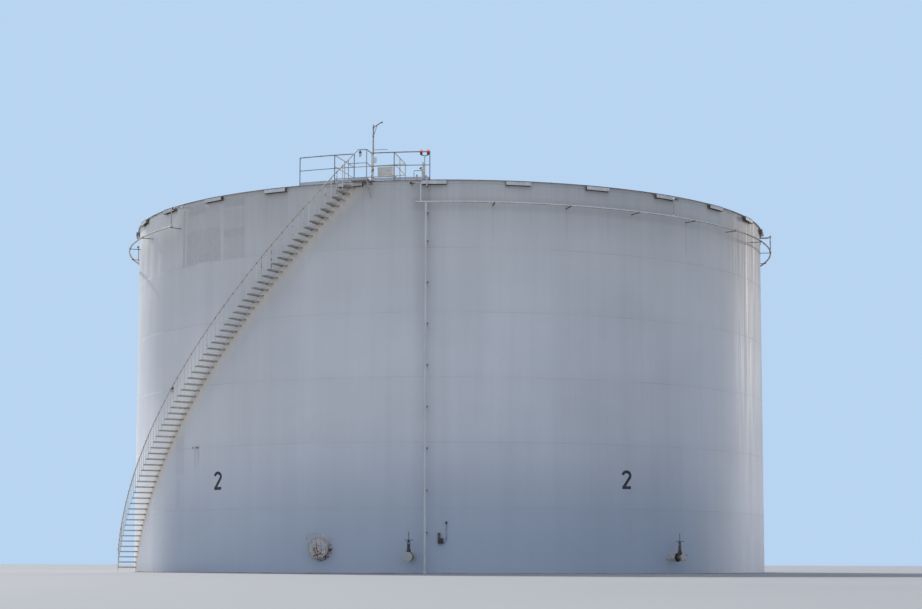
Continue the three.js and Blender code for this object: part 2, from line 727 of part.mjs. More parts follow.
function addRiser() {
  const top = RING_HEIGHT - RING_PIPE * HEX_FLAT - SEAT_GAP;
  const { radius, thickness } = RISER_FLANGE;
  const at = (height) => polar(RING_RADIUS, RISER_AZIMUTH, height);
  const pieces = [bar(at(0), at(top), RISER_PIPE, 10), bar(at(0), at(thickness), radius, 12)];
  const reach = RING_RADIUS - TANK_RADIUS + SEAT_REACH;
  const middle = RING_RADIUS - reach / 2;
  for (const height of RISER_BRACKETS) {
    const arm = block(RISER_BRACKET_WIDTH, reach, BRACKET_BAR.thickness, middle, RISER_AZIMUTH, height);
    pieces.push(seated(arm));
  }
  addPiece('foam_riser', joined(pieces), WHITE_PAINT);
}

function radialBar(azimuth, height, from, to, radius, sides) {
  return bar(polar(from, azimuth, height), polar(to, azimuth, height), radius, sides);
}

function addManway() {
  const { azimuth, height, neck, flange, reach, cover } = MANWAY;
  const face = TANK_RADIUS + reach;
  addPiece('shell_manway', joined([
    seated(radialBar(azimuth, height, TANK_RADIUS - SEAT_REACH, face - cover / 2, neck, 16)),
    radialBar(azimuth, height, face - cover, face, flange, 16),
  ]), WHITE_PAINT);
}

function addOutlets() {
  OUTLET_AZIMUTHS.forEach((azimuth, index) => {
    const face = TANK_RADIUS + OUTLET_REACH;
    const valve = TANK_RADIUS + VALVE.reach;
    const level = OUTLET_HEIGHT;
    const { radius, thickness } = OUTLET_FLANGE;
    const inner = valve - VALVE.depth / 2 - 2 * thickness;
    const upright = (from, to, size, sides) => {
      return bar(polar(valve, azimuth, level + from), polar(valve, azimuth, level + to), size, sides);
    };
    const wheel = VALVE_WHEEL.height;
    addPiece(`outlet_valve_${index + 1}`, joined([
      seated(radialBar(azimuth, level, TANK_RADIUS - SEAT_REACH, face, OUTLET_PIPE, 8)),
      radialBar(azimuth, level, inner, inner + 2 * thickness, radius, 12),
      radialBar(azimuth, level, face - thickness, face, radius, 12),
      block(VALVE.across, VALVE.depth, VALVE.height, valve, azimuth, level),
      upright(0, VALVE_NECK.top, VALVE_NECK.radius, 6),
      upright(0, VALVE_STEM.top, VALVE_STEM.radius, 6),
      upright(wheel, wheel + VALVE_WHEEL.thickness, VALVE_WHEEL.radius, 12),
    ]), DARK_STEEL);
  });
}

addBottom();
addShell();
addRim();
addRoof();
addCentreVent();
addStair();
addHandrails();
addLanding();
addLandingRail();
addRimGuards();
addPlatform();
addPlatformRail();
addInstrumentBox();
addMast();
addObstructionLight();
addLamps();
addRing();
addRiser();
addManway();
addOutlets();

export default tank;
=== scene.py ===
import random
from math import cos, degrees, exp, hypot, pi, radians, sin

import bmesh
import bpy
from mathutils import Matrix, Vector, noise


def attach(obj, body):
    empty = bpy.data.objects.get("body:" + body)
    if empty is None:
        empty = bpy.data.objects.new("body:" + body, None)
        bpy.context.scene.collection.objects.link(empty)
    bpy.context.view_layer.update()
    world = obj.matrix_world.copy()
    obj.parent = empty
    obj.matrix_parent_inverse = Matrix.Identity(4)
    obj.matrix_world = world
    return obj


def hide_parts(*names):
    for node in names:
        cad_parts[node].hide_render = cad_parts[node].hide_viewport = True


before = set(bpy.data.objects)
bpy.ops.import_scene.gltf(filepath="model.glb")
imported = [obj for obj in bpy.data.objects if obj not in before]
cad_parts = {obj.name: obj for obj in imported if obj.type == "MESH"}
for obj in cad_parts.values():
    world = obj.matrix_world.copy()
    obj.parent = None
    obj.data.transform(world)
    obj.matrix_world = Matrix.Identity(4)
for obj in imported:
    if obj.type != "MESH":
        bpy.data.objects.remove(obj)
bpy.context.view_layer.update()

# Camera, solved for a photograph of 922 x 609 pixels
PHOTO_WIDTH = 922
FOCAL_PIXELS = 1914.31
SENSOR = 36.0
CAMERA_PLACE = (0.15188, -84.79383, 0.38348)
CAMERA_PITCH, CAMERA_YAW, CAMERA_ROLL = 0.09633, -0.00398, 0.00187
CAMERA_SHIFT = 0.08

# Shell and rim, as in the CAD
RADIUS = 13.716
COURSE = 2.4384
COURSES = 6
# Plates of each course, in degrees; each course breaks joint with the one below
PLATE, FIRST_SEAM, SEAM_STEP = 30.0, -30.5, 11.94
SHELL_TOP = COURSE * COURSES
SEGMENTS = 8
FIRST_CORNER = 2.5
FLOOR_PLATE = 0.008
CURB_TOP = 14.755
CURB_LEG = 0.075
ROOF_EDGE = RADIUS + CURB_LEG
ROOF_THICKNESS = 0.006
ROOF_SLOPE = 1 / 16
ROOF_HOLE = 0.3
ROOF_SECTORS = 6
FIRST_HOOD = -2.5
HOODS_IN_SECTION, RIM_SECTIONS = 3, 9
HOOD_PITCH = 360 / (HOODS_IN_SECTION * RIM_SECTIONS)
HOOD_WIDTH = 0.96
HOOD_DEPTH = 0.15
HOOD_FOOT, HOOD_TOP = CURB_TOP - 0.18, CURB_TOP - 0.038

# Stair, as in the CAD
TREADS = 67
RISE = 0.2172
TREAD_ANGLE = 0.9085
LANDING_START, LANDING_END = -15.25, -12.4
LANDING_TOP = (TREADS + 1) * RISE
STAIR_RADIUS = 14.44
TREAD_WIDTH = 0.252
POST_RADIUS = 14.425
HANDRAIL_HEIGHT = 0.73
HANDRAIL_RADIUS = 0.021
GUARD_HEIGHT = 1.07
GUARD_TOP = LANDING_TOP + GUARD_HEIGHT
GUARD_MIDDLE = LANDING_TOP + 0.56
FLIGHTS = [10, 10, 10, 10, 9, 9, 9]
HANDRAIL_SECTIONS = [17, 17, 17, 16]
LAMP_TREAD, LAMP_AZIMUTH = 30, -13.5

# Roof platform and guards, as in the CAD
RIM_POST_RADIUS = 13.75
GUARD_LEFT = [-24.7, -18.6, -15.3]
GUARD_RIGHT = [-12.42, -8.8, -3.15]
TOP_RAIL, MIDDLE_RAIL = 0.0208, 0.0158
DECK_TOP = 14.96
REAR_MIDDLE = 15.4
PLATFORM_SIDES = [(-18.6, 11.45, -19.2), (-8.8, 11.6, -8.6)]

# Foam ring main, as in the CAD
RING_RADIUS = 14.15
RING_HEIGHT = 13.85
RING_PIPE = 0.032
RING_LINE = RING_RADIUS - 0.004
RING_START, RING_END = -5.2, 307.8
FIRST_BRACKET = 6.8
BRACKET_PITCH = 12.03
RING_BRACKETS = [5, 4, 4, 4, 4, 5]
# Azimuth of each foam maker's branch and the run along the shell to its chamber
FOAM_MAKERS = [
    (-4.4, -0.38), (38.1, 0.4), (80, 0.4), (124, 0.4), (166, 0.4), (218, 0.4), (266, 0.4), (307.5, 0.62),
]
MAKER_HEIGHT = 14.575
RISER_AZIMUTH = -3.6
RISER_CLIPS = [1.5, 3.05, 4.6, 6.15, 7.7, 9.25, 10.8, 12.35, 13.4]

UP = Vector((0, 0, 1))

# The plates' form: mean depth inside the CAD's surface, and how far they wave and ripple
PLATE_DEPTH, PLATE_WAVE, PLATE_RIPPLE = 0.006, 0.0045, 0.0015
# Dents: azimuth, height, half width in degrees, half height, depth
DENTS = [
    (-71.2, 12.95, 1.1, 0.9, 0.026),
    (-66.4, 12.9, 1.2, 0.95, 0.036),
    (-61.9, 12.95, 1.2, 0.85, 0.03),
    (-58.0, 12.9, 1.3, 0.9, 0.006),
    (-67, 8.7, 1.6, 0.9, 0.012),
    (-61, 8.4, 1.4, 0.7, 0.007),
    (-71, 5.4, 1.8, 0.8, 0.010),
    (66, 12.3, 1.8, 1.0, 0.008),
    (71, 9.4, 1.6, 0.9, 0.009),
    (150, 8.6, 2.2, 0.9, 0.009),
]
# Touched-up patches: azimuth from and to, height from and to, change of brightness
PATCHES = [
    (-50.5, -41.0, 13.55, 14.4, -0.075),
    (-50.5, -41.0, 12.22, 13.55, -0.13),
    (-40.4, -35.6, 13.43, 14.2, -0.045),
    (-40.4, -35.6, 12.23, 13.43, -0.07),
    (-40.4, -35.7, 13.1, 13.43, -0.05),
    (-51.6, -50.9, 12.2, 14.5, -0.13),
    (-49.6, -45.1, 14.2, 14.6, -0.15),
    (-40.4, -35.7, 14.27, 14.6, -0.13),
    (-53.0, -50.2, 3.9, 5.4, -0.035),
    (-52.6, -51.4, 2.5, 3.7, -0.045),
    (-41.4, -41.1, 12.25, 14.4, 0.05),
]
# Stretches of the shell that are brighter or darker; the third is painted light low on the right.
# Azimuth from, to and softness of the edges, height from and to, change of brightness below and above
TONES = [
    (-43, -27, 4, 2.0, 5.0, 0.0, -0.07),
    (20, 39, 5, 2.0, 7.0, -0.10, -0.065),
    (55, 84, 5, 11.2, 12.8, 0.05, -0.04),
    (-5.4, -2.3, 0.9, 0.5, 12.0, -0.075, -0.1),
    (-9.5, -3.0, 2.5, 8.0, 12.0, 0.0, -0.05),
]


def outward(azimuth):
    """The level direction from the axis to an azimuth."""
    angle = radians(azimuth)
    return Vector((sin(angle), -cos(angle), 0))


def along(azimuth):
    """The level direction round the shell, towards growing azimuth."""
    angle = radians(azimuth)
    return Vector((cos(angle), sin(angle), 0))


def axes_at(azimuth):
    return along(azimuth), outward(azimuth), UP


def polar(radius, azimuth, height):
    return outward(azimuth) * radius + UP * height


def turned(azimuth, run, radius):
    """The azimuth that lies so many metres further round, at a radius."""
    return azimuth + degrees(run / radius)


def spread(first, last, count):
    """count + 1 even values from first to last."""
    return [first + (last - first) * i / count for i in range(count + 1)]


def level_run(radius, height, start, end, steps):
    """Places at one height, from one azimuth to another."""
    return [polar(radius, azimuth, height) for azimuth in spread(start, end, steps)]


def circle(count):
    """Even angles round a full turn, in radians."""
    return spread(0, 2 * pi, count)[:-1]


def hoop_points(centre, side, other, radius, count):
    """Even places on a circle that lies in the plane of two directions."""
    return [centre + (side * cos(angle) + other * sin(angle)) * radius for angle in circle(count)]


def compass(count):
    """Even azimuths round a full turn."""
    return spread(0, 360, count)[:-1]


def beside(axis):
    """Two directions square to an axis and to each other."""
    side = axis.cross(Vector((0, 1, 0)) if abs(axis.y) < 0.9 else Vector((1, 0, 0))).normalized()
    return side, axis.cross(side)


def neighbours(path, i):
    """The items before and after one of a path, or the item itself at an end."""
    return path[max(i - 1, 0)], path[min(i + 1, len(path) - 1)]


def edges(outline):
    """Each corner with the one that follows it."""
    return zip(outline, outline[1:] + outline[:1])


def shell_radius(azimuth, height):
    """Radius of the shell's outside: the plates wave a few millimetres between their welds."""
    place = polar(RADIUS, azimuth, height)
    swell = sin(pi * (height % COURSE) / COURSE)
    wave = noise.noise(Vector((place.x * 0.42, place.y * 0.42, place.z * 0.3)))
    ripple = noise.noise(Vector((place.x * 1.1 + 7, place.y * 1.1, place.z * 0.5)))
    dent = 0.0
    for centre, level, width, tall, depth in DENTS:
        turn = (azimuth - centre + 180) % 360 - 180
        dent += depth * exp(-((turn / width) ** 2) - ((height - level) / tall) ** 2)
    form = PLATE_WAVE * wave * (0.4 + 0.6 * swell) + PLATE_RIPPLE * ripple * swell
    return RADIUS - PLATE_DEPTH + form - dent


def roof_height(radius):
    return CURB_TOP + ROOF_THICKNESS + (ROOF_EDGE - radius) * ROOF_SLOPE


class Value:
    """A socket in a material's graph, with sums on it written as plain arithmetic."""

    def __init__(self, graph, socket):
        self.graph, self.socket = graph, socket

    def math(self, operation, other=0.0):
        return self.graph.math(operation, self, other)

    def __add__(self, other):
        return self.math("ADD", other)

    def __sub__(self, other):
        return self.math("SUBTRACT", other)

    def __rsub__(self, other):
        return self.graph.math("SUBTRACT", other, self)

    def __mul__(self, other):
        return self.math("MULTIPLY", other)

    def __truediv__(self, other):
        return self.math("DIVIDE", other)

    def __abs__(self):
        return self.math("ABSOLUTE")

    def ramp(self, low, high, start=0.0, end=1.0):
        """start below low and end above high, with a smooth rise between."""
        inputs = dict(enumerate((self, low, high, start, end)))
        return self.graph.node("ShaderNodeMapRange", 0, inputs, interpolation_type="SMOOTHSTEP")

    def window(self, low, high, soft):
        """1 between low and high, with soft edges."""
        return self.ramp(low - soft, low + soft) * self.ramp(high - soft, high + soft, 1.0, 0.0)

    def fade(self, low, high, below, above, share=1.0):
        """The colour below, which goes over by a share into the one above as the value rises."""
        return self.graph.mix(self.ramp(low, high, 0.0, share), below, above)

    def cycle(self, start, pitch):
        """Distance from the nearest of the places start, start + pitch and so on."""
        turns = ((self - start) * (1 / pitch) + 0.5).math("FRACT")
        return abs(turns - 0.5) * pitch


class Graph:
    """The nodes of a material."""

    def __init__(self, name, roughness=0.6, metallic=0.0):
        self.material = bpy.data.materials.new(name)
        self.material.use_nodes = True
        tree = self.material.node_tree
        self.nodes, self.links = tree.nodes, tree.links
        self.shader = self.nodes["Principled BSDF"].inputs
        self.shader["Roughness"].default_value = roughness
        self.shader["Metallic"].default_value = metallic
        self.place = self.node("ShaderNodeTexCoord", "Object")
        self.x, self.y, self.z = (self.part(self.place, axis) for axis in range(3))

    def node(self, kind, output, inputs=None, **settings):
        """The value of one output of a new node, with its settings made and its inputs fed."""
        node = self.nodes.new(kind)
        for name, setting in settings.items():
            setattr(node, name, setting)
        for socket, value in (inputs or {}).items():
            self.feed(node.inputs[socket], value)
        return Value(self, node.outputs[output])

    def feed(self, socket, value):
        if isinstance(value, Value):
            self.links.new(value.socket, socket)
        elif isinstance(value, tuple) and socket.type == "RGBA":
            socket.default_value = (*value, 1)
        else:
            socket.default_value = value

    def part(self, vector, axis):
        return self.node("ShaderNodeSeparateXYZ", axis, {0: vector})

    def math(self, operation, a, b=0.0):
        return self.node("ShaderNodeMath", 0, {0: a, 1: b}, operation=operation)

    def mix(self, factor, a, b, blend="MIX"):
        inputs = {"Factor": factor, "A": a, "B": b}
        return self.node("ShaderNodeMix", "Result", inputs, data_type="RGBA", blend_type=blend)

    def stretch(self, across, tall, shift=0.0):
        """The place, scaled across the level and along the height."""
        shifts = (shift, shift * 0.7, shift * 1.3)
        inputs = {"Vector": self.place, "Scale": (across, across, tall), "Location": shifts}
        return self.node("ShaderNodeMapping", 0, inputs)

    def cloud(self, place, detail=3.0, rough=0.55):
        inputs = {"Vector": place, "Scale": 1.0, "Detail": detail, "Roughness": rough}
        return self.node("ShaderNodeTexNoise", "Fac", inputs)

    def noise(self, across, tall, detail=3.0, rough=0.55, shift=0.0):
        return self.cloud(self.stretch(across, tall, shift), detail, rough)

    def dice(self, a, b):
        """A random value from 0 to 1 for each pair of whole numbers."""
        pair = self.node("ShaderNodeCombineXYZ", 0, {0: a + 0.5, 1: b + 0.5})
        return self.node("ShaderNodeTexWhiteNoise", "Value", {"Vector": pair})

    def azimuth(self):
        """Degrees round the axis, 0 towards -Y."""
        return self.math("ARCTAN2", self.x, self.y * -1.0) * (180 / pi)

    def reach(self):
        """Distance from the tank's axis."""
        return (self.x * self.x + self.y * self.y).math("SQRT")

    def upward(self):
        """How far a face looks up: 1 straight up and -1 straight down."""
        return self.part(self.node("ShaderNodeNewGeometry", "True Normal"), 2)

    def rust(self, scale=1.0):
        dark, bright = (0.10, 0.045, 0.025), (0.30, 0.135, 0.055)
        return self.noise(9 * scale, 7 * scale, shift=11).fade(0.35, 0.65, dark, bright)

    def finish(self, colour, bump=None, distance=0.002, roughness=None):
        self.feed(self.shader["Base Color"], colour)
        if roughness is not None:
            self.feed(self.shader["Roughness"], roughness)
        if bump is not None:
            inputs = {"Strength": 0.6, "Distance": distance, "Height": bump}
            self.feed(self.shader["Normal"], self.node("ShaderNodeBump", "Normal", inputs))
        return self.material


def shade(colour, factor):
    return tuple(c * factor for c in colour)


def worn_paint(name, paint, amount, grime=0.35, roughness=0.5, scale=1.0, under=None, inner=None):
    """Old paint with grime in streaks and rust where the noise is high; amount runs from 0 to 1.

    under is the colour of faces that look down, where dirt gathers and shade is painted; inner is that of
    faces near the shell, painted dark brown where they meet it: painted shade."""
    g = Graph(name)
    broad = g.noise(1.1 * scale, 0.7 * scale)
    fine = g.noise(17 * scale, 11 * scale, detail=5, rough=0.6, shift=3)
    streak = g.noise(13 * scale, 1.1 * scale, shift=5)
    colour = broad.fade(0.36, 0.62, shade(paint, 0.86), paint)
    colour = streak.fade(0.46, 0.72, colour, shade(paint, 0.42), grime)
    if under is not None:
        # Faces that look down: dirt with painted shade
        dirt = fine.fade(0.35, 0.65, shade(under, 0.75), under)
        colour = g.mix(g.upward().ramp(-0.9, -0.3, 0.9, 0.0), colour, dirt)
    # Faces near the shell: painted shade, dark brown
    if inner is not None:
        colour = g.mix(g.reach().ramp(RADIUS + 0.04, RADIUS + 0.17, 0.9, 0.0), colour, inner)
    mask = fine * 0.55 + broad * 0.45
    edge = 0.66 - 0.26 * amount
    rust = mask.ramp(edge, edge + 0.045)
    halo = (0.42, 0.30, 0.19)
    colour = mask.fade(edge - 0.05, edge + 0.02, colour, halo, 0.4)
    colour = g.mix(rust, colour, g.rust(scale))
    rough = fine.ramp(0.3, 0.7, roughness - 0.08, roughness + 0.08) + rust * 0.3
    return g.finish(colour, fine * 0.4 + rust * 0.5, 0.0015, rough)


class ShellPaint:
    """White paint on the plates: streaks, dirt at the welds, a tan stain under the stair, touched-up patches,
    and painted light and shade.
    """

    def __init__(self):
        self.graph = g = Graph("shell_paint")
        self.turn, self.z = turn, z = g.azimuth(), g.z
        self.streak = g.noise(1.2, 0.05, detail=4, rough=0.6, shift=3)
        self.fine = g.noise(7.5, 0.22, shift=9)
        self.speck = g.noise(26, 18, shift=4)
        # The left, where light is painted on the sunny side; the front between its shaded edges, where shade
        # is painted low down; and the right, where light is painted low down
        west = turn - z.ramp(5.0, 9.5, 9.0, 0.0)
        self.left = west.ramp(-145, -95) * west.ramp(-73, -59, 1.0, 0.0)
        self.front = (1.0 - self.left) * turn.window(-75, 46, 8)
        self.right = turn.ramp(50, 62) * turn.ramp(98, 140, 1.0, 0.0)

    def light(self):
        """Broad changes of brightness, from the rim down and from side to side, much of it painted light and
        shade.
        """
        turn, z, streak, fine = self.turn, self.z, self.streak, self.fine
        value = streak.ramp(0.3, 0.72, -0.035, 0.025) + fine.ramp(0.3, 0.7, -0.009, 0.007)
        below_rim = z.ramp(11.8, 14.4, 0.0, -0.17) * fine.ramp(0.3, 0.6, 0.7, 1.0)
        value += below_rim * (1.0 - turn.window(-100, -38, 8) * 0.65)
        # Painted light on the sunny left: brighter near the top, and brightest low down
        value += turn.ramp(-130, -90) * turn.ramp(-54.5, -51, 1.0, 0.0) * z.ramp(13.3, 14.1, 0.0, 0.16)
        value += self.left * (z.ramp(11.6, 12.8, 0.18, 0.10) + z.ramp(5.0, 10.0, 0.14, 0.0))
        value += turn.window(-57, -12, 4) * z.window(10.2, 12.3, 0.7) * -0.05
        # Painted light low on the right; darker higher up
        value += self.right * (z.ramp(8.0, 12.0, 0.0, -0.16) + z.ramp(3.0, 6.0, 0.16, 0.0))
        # Painted shade on the sunlit back, in streaks
        value += abs(turn).ramp(98, 140) * streak.ramp(0.38, 0.62, -0.06, -0.17)
        # Painted shade low down on the front
        value += self.front * z.ramp(0.8, 5.4, -0.3, 0.0)
        for west, east, soft, low, high, under, over in TONES:
            value += turn.window(west, east, soft) * z.ramp(low, high, under, over)
        return value

    def dirt(self):
        """Each plate took its paint a little differently; dirt sits on the welds, with a painted highlight on
        them on the sunny side, and the shell is darker at the ring's height and beside the riser.
        """
        g, turn, z = self.graph, self.turn, self.z
        course = (z * (1 / COURSE)).math("FLOOR")
        seams = (turn - FIRST_SEAM) * (1 / PLATE) - course * (SEAM_STEP / PLATE)
        plate = seams.math("FLOOR").math("FLOORED_MODULO", 360 / PLATE)
        value = (g.dice(plate, course) - 0.5) * 0.045
        weld = z.cycle(0.0, COURSE)
        # Welds are darker with dirt, but lighter on the sunny left: a painted highlight
        depth = turn.window(-100, -59, 3) * 0.4 - 0.1
        patchy = g.noise(0.5, 0.5, detail=4, shift=12).ramp(0.35, 0.62, 0.2, 1.0)
        value += weld.ramp(0.008, 0.03, 1.0, 0.0) * depth * patchy
        value += weld.ramp(0.03, 0.5, -0.014, 0.0)
        value += z.window(13.62, 14.1, 0.1) * turn.window(-6.0, 92.0, 0.5) * -0.075
        value += turn.window(-4.15, -3.05, 0.12) * self.fine.ramp(0.3, 0.6, -0.02, -0.05)
        return value

    def patches(self):
        """Touched-up patches with wavy, mottled edges."""
        g = self.graph
        wavy = self.z + g.noise(0.9, 0.02, shift=14).ramp(0.3, 0.7, -0.03, 0.03)
        areas = [
            self.turn.window(west, east, 0.09) * wavy.window(low, high, 0.03) * change
            for west, east, low, high, change in PATCHES
        ]
        mottle = g.noise(7, 4.5, detail=5, rough=0.65, shift=21).ramp(0.36, 0.62, 0.75, 1.2)
        return sum(areas[1:], areas[0]) * mottle

    def hood_lines(self):
        """Lines of dirt below both ends of each hood."""
        left, right = (
            self.turn.cycle(FIRST_HOOD + end, HOOD_PITCH).ramp(0.02, 0.085, 1.0, 0.0) for end in (-2.03, 2.03)
        )
        return (left + right) * self.z.ramp(12.3, 14.3) * self.streak.ramp(0.3, 0.6, 0.4, 1.0)

    def stains(self, colour):
        """A tan stain about the treads, lighter than the wall, which is partly painted light against the
        stair's shade; brown stains below the ring's brackets and the two lugs.
        """
        g, turn, z, fine = self.graph, self.turn, self.z, self.fine
        # The stain about the stair is lighter than the wall: painted light that offsets the stair's shade
        step = (turn - LANDING_START) * (1 / TREAD_ANGLE) + (TREADS + 1.0)
        under = z - step * RISE
        near = under.ramp(1.0, 2.2, 1.0, 0.0) * z.ramp(7.5, 10.5, 0.8, 0.0)
        tan_stain_and_painted_light = under.ramp(-1.0, -0.1) * under.ramp(-0.12, -0.03, 1.0, 0.0).math("MAXIMUM", near)
        tan_stain_and_painted_light *= turn.ramp(-14.2, -13.0, 1.0, 0.0) * fine.ramp(0.3, 0.65, 0.55, 0.85)
        colour = g.mix(tan_stain_and_painted_light, colour, under.fade(-0.15, 0.1, (1.0, 0.91, 0.76), (1.0, 0.98, 0.94)))
        runs = fine.ramp(0.35, 0.6)
        drip = turn.cycle(FIRST_BRACKET, BRACKET_PITCH).ramp(0.05, 0.16, 0.3, 0.0) * runs
        drip *= z.window(12.6, 13.83, 0.2) * (1.0 - turn.window(-51, 2, 0.5))
        colour = g.mix(drip, colour, (0.34, 0.26, 0.2))
        lug = turn.window(-47.15, -45.85, 0.12) * runs
        lug *= z.ramp(3.7, 4.95, 0.0, 0.6) * z.ramp(4.95, 5.0, 1.0, 0.0)
        return g.mix(lug, colour, (0.30, 0.19, 0.12))

    def make(self):
        g, z = self.graph, self.z
        patches = self.patches()
        # light() holds painted light and shade; dirt() adds a painted highlight on the welds
        value = self.light() + self.dirt() + patches + 1.0
        grey = g.node("ShaderNodeCombineColor", 0, {0: value, 1: value, 2: value})
        paint = g.noise(0.16, 0.22, detail=4).fade(0.35, 0.65, (0.715, 0.722, 0.728), (0.765, 0.77, 0.77))
        colour = g.mix(1.0, paint, grey, "MULTIPLY")
        # Painted shade: cooler low down on the front. Warmer below the rim
        colour = g.mix(z.ramp(0.5, 6.5, 0.6, 0.0) * self.front, colour, (0.50, 0.60, 0.73))
        colour = g.mix(z.ramp(8.0, 14.5, 0.0, 0.85), colour, (1.0, 0.975, 0.925), "MULTIPLY")
        colour = g.mix(patches * -3.2, colour, (0.545, 0.52, 0.515))
        colour = g.mix(self.hood_lines() * 0.3, colour, (0.47, 0.38, 0.27))
        colour = self.stains(colour)
        spots = self.speck * 0.7 + self.streak * 0.3
        colour = spots.fade(0.685, 0.72, colour, (0.30, 0.2, 0.14))
        bump = self.speck * 0.3 + self.fine * 0.5
        return g.finish(colour, bump, 0.002, self.fine.ramp(0.3, 0.7, 0.40, 0.56))


def roof_paint():
    """White paint on the roof, with dirt that the rain has drawn down the slope."""
    g = Graph("roof_paint")
    reach = g.reach()
    broad = g.noise(0.35, 0.35, detail=4)
    fine = g.noise(5, 5, detail=5, rough=0.62, shift=2)
    speck = g.noise(30, 30, shift=6)
    g.shader["Specular IOR Level"].default_value = 0.2
    x, y = (value / (reach + 0.05) * 16.0 for value in (g.x, g.y))
    runs = g.cloud(g.node("ShaderNodeCombineXYZ", 0, {0: x, 1: y, 2: reach * 0.28}), 5, 0.62)
    colour = broad.fade(0.35, 0.65, (0.49, 0.495, 0.485), (0.585, 0.585, 0.57))
    colour = runs.fade(0.46, 0.66, colour, (0.40, 0.385, 0.35), 0.55)
    colour = fine.fade(0.48, 0.72, colour, (0.42, 0.41, 0.38), 0.5)
    laps = reach.cycle(13.74, 2.2).ramp(0.0, 0.09, 0.35, 0.0)
    colour = g.mix(laps * fine.ramp(0.3, 0.6), colour, (0.33, 0.27, 0.2))
    colour = (speck * 0.5 + fine * 0.5).fade(0.62, 0.66, colour, g.rust())
    return g.finish(colour, fine, 0.002, fine.ramp(0.3, 0.7, 0.7, 0.88))


def ring_paint():
    """The ring main: dirty beige in front with tops painted white as painted light, chalky white near its
    left end, reddish brown round the sides.
    """
    g = Graph("ring_paint")
    turn = g.azimuth()
    streak = g.noise(5, 5, detail=4, shift=1)
    fine = g.noise(24, 24, detail=4, shift=8)
    beige = streak.fade(0.35, 0.62, (0.50, 0.40, 0.29), (0.70, 0.61, 0.50))
    # Faces that look up are painted white and those that look down beige: painted light from above
    beige = g.mix(g.upward().ramp(-0.45, 0.25, 1.0, 0.0), (0.84, 0.85, 0.85), beige)
    brown = streak.fade(0.35, 0.62, (0.36, 0.26, 0.18), (0.56, 0.44, 0.32))
    colour = abs(turn).fade(45, 66, beige, brown)
    for west, east, soft, light, dark in (
        (-84, -50, 2.0, (0.80, 0.78, 0.73), (0.40, 0.31, 0.24)),
        (-110, -84, 3.0, (0.66, 0.50, 0.33), (0.30, 0.17, 0.10)),
    ):
        colour = g.mix(turn.window(west, east, soft) * 0.8, colour, fine.fade(0.42, 0.6, light, dark))
    colour = fine.fade(0.60, 0.68, colour, g.rust(), 0.6)
    return g.finish(colour, fine, 0.0015, fine.ramp(0.3, 0.7, 0.5, 0.75))


def iron(name, dark, bright, rust, metallic=0.2):
    """Dark weathered iron with rusty spots."""
    g = Graph(name, metallic=metallic)
    broad = g.noise(6, 4, detail=4)
    fine = g.noise(35, 35, detail=4, shift=5)
    colour = broad.fade(0.35, 0.65, dark, bright)
    edge = 0.64 - 0.25 * rust
    colour = (broad * 0.5 + fine * 0.5).fade(edge, edge + 0.06, colour, g.rust())
    return g.finish(colour, fine, 0.002, fine.ramp(0.3, 0.7, 0.5, 0.8))


def galvanised():
    g = Graph("galvanised", metallic=0.55)
    broad = g.noise(3, 3, detail=4)
    spangle = g.node("ShaderNodeTexVoronoi", "Distance", {"Vector": g.stretch(42, 42), "Scale": 1.0})
    colour = spangle.fade(0.1, 0.7, (0.50, 0.51, 0.52), (0.37, 0.38, 0.39))
    colour = broad.fade(0.5, 0.68, colour, (0.28, 0.24, 0.2), 0.6)
    return g.finish(colour, g.noise(50, 50, shift=3), 0.001, broad.ramp(0.3, 0.7, 0.35, 0.6))


def lamp_glass(name, deep, bright, low, high, transmission, glow=0.0):
    """Coloured glass, deeper below and brighter above."""
    g = Graph(name, roughness=0.3)
    g.shader["Transmission Weight"].default_value = transmission
    g.shader["Emission Strength"].default_value = glow
    g.shader["IOR"].default_value = 1.49
    fine = g.noise(30, 60, shift=2)
    colour = fine.fade(0.4, 0.75, g.z.fade(low, high, deep, bright), shade(deep, 0.6), 0.35)
    g.feed(g.shader["Emission Color"], colour)
    return g.finish(colour, fine, 0.0008, fine.ramp(0.3, 0.7, 0.24, 0.4))


SHELL_PAINT = ShellPaint().make()
ROOF_PAINT = roof_paint()
RING_PAINT = ring_paint()
GALVANISED = galvanised()
# Name, colour, how rusty, how grimy and, where it isn't usual, how rough
HOOD_PAINT = worn_paint("hood_paint", (0.78, 0.785, 0.775), 0.12, 0.25)
CURB_PAINT = worn_paint("curb_paint", (0.62, 0.61, 0.59), 0.45, 0.5)
RUSTY_EDGE = worn_paint("rusty_edge", (0.36, 0.27, 0.20), 0.6, 0.4, 0.7)
# The stair's under and inner colours are painted shade on faces that look down and near the shell
STAIR_PAINT = worn_paint("stair_paint", (0.66, 0.62, 0.55), 0.2, 0.3,
                         under=(0.60, 0.55, 0.46), inner=(0.32, 0.255, 0.185))
POST_PAINT = worn_paint("post_paint", (0.76, 0.75, 0.73), 0.08, 0.2, scale=1.3)
RUSTY_POST = worn_paint("rusty_post", (0.78, 0.72, 0.66), 0.42, 0.15, scale=1.1)
RAIL_PAINT = worn_paint("rail_paint", (0.70, 0.61, 0.53), 0.14, 0.2)
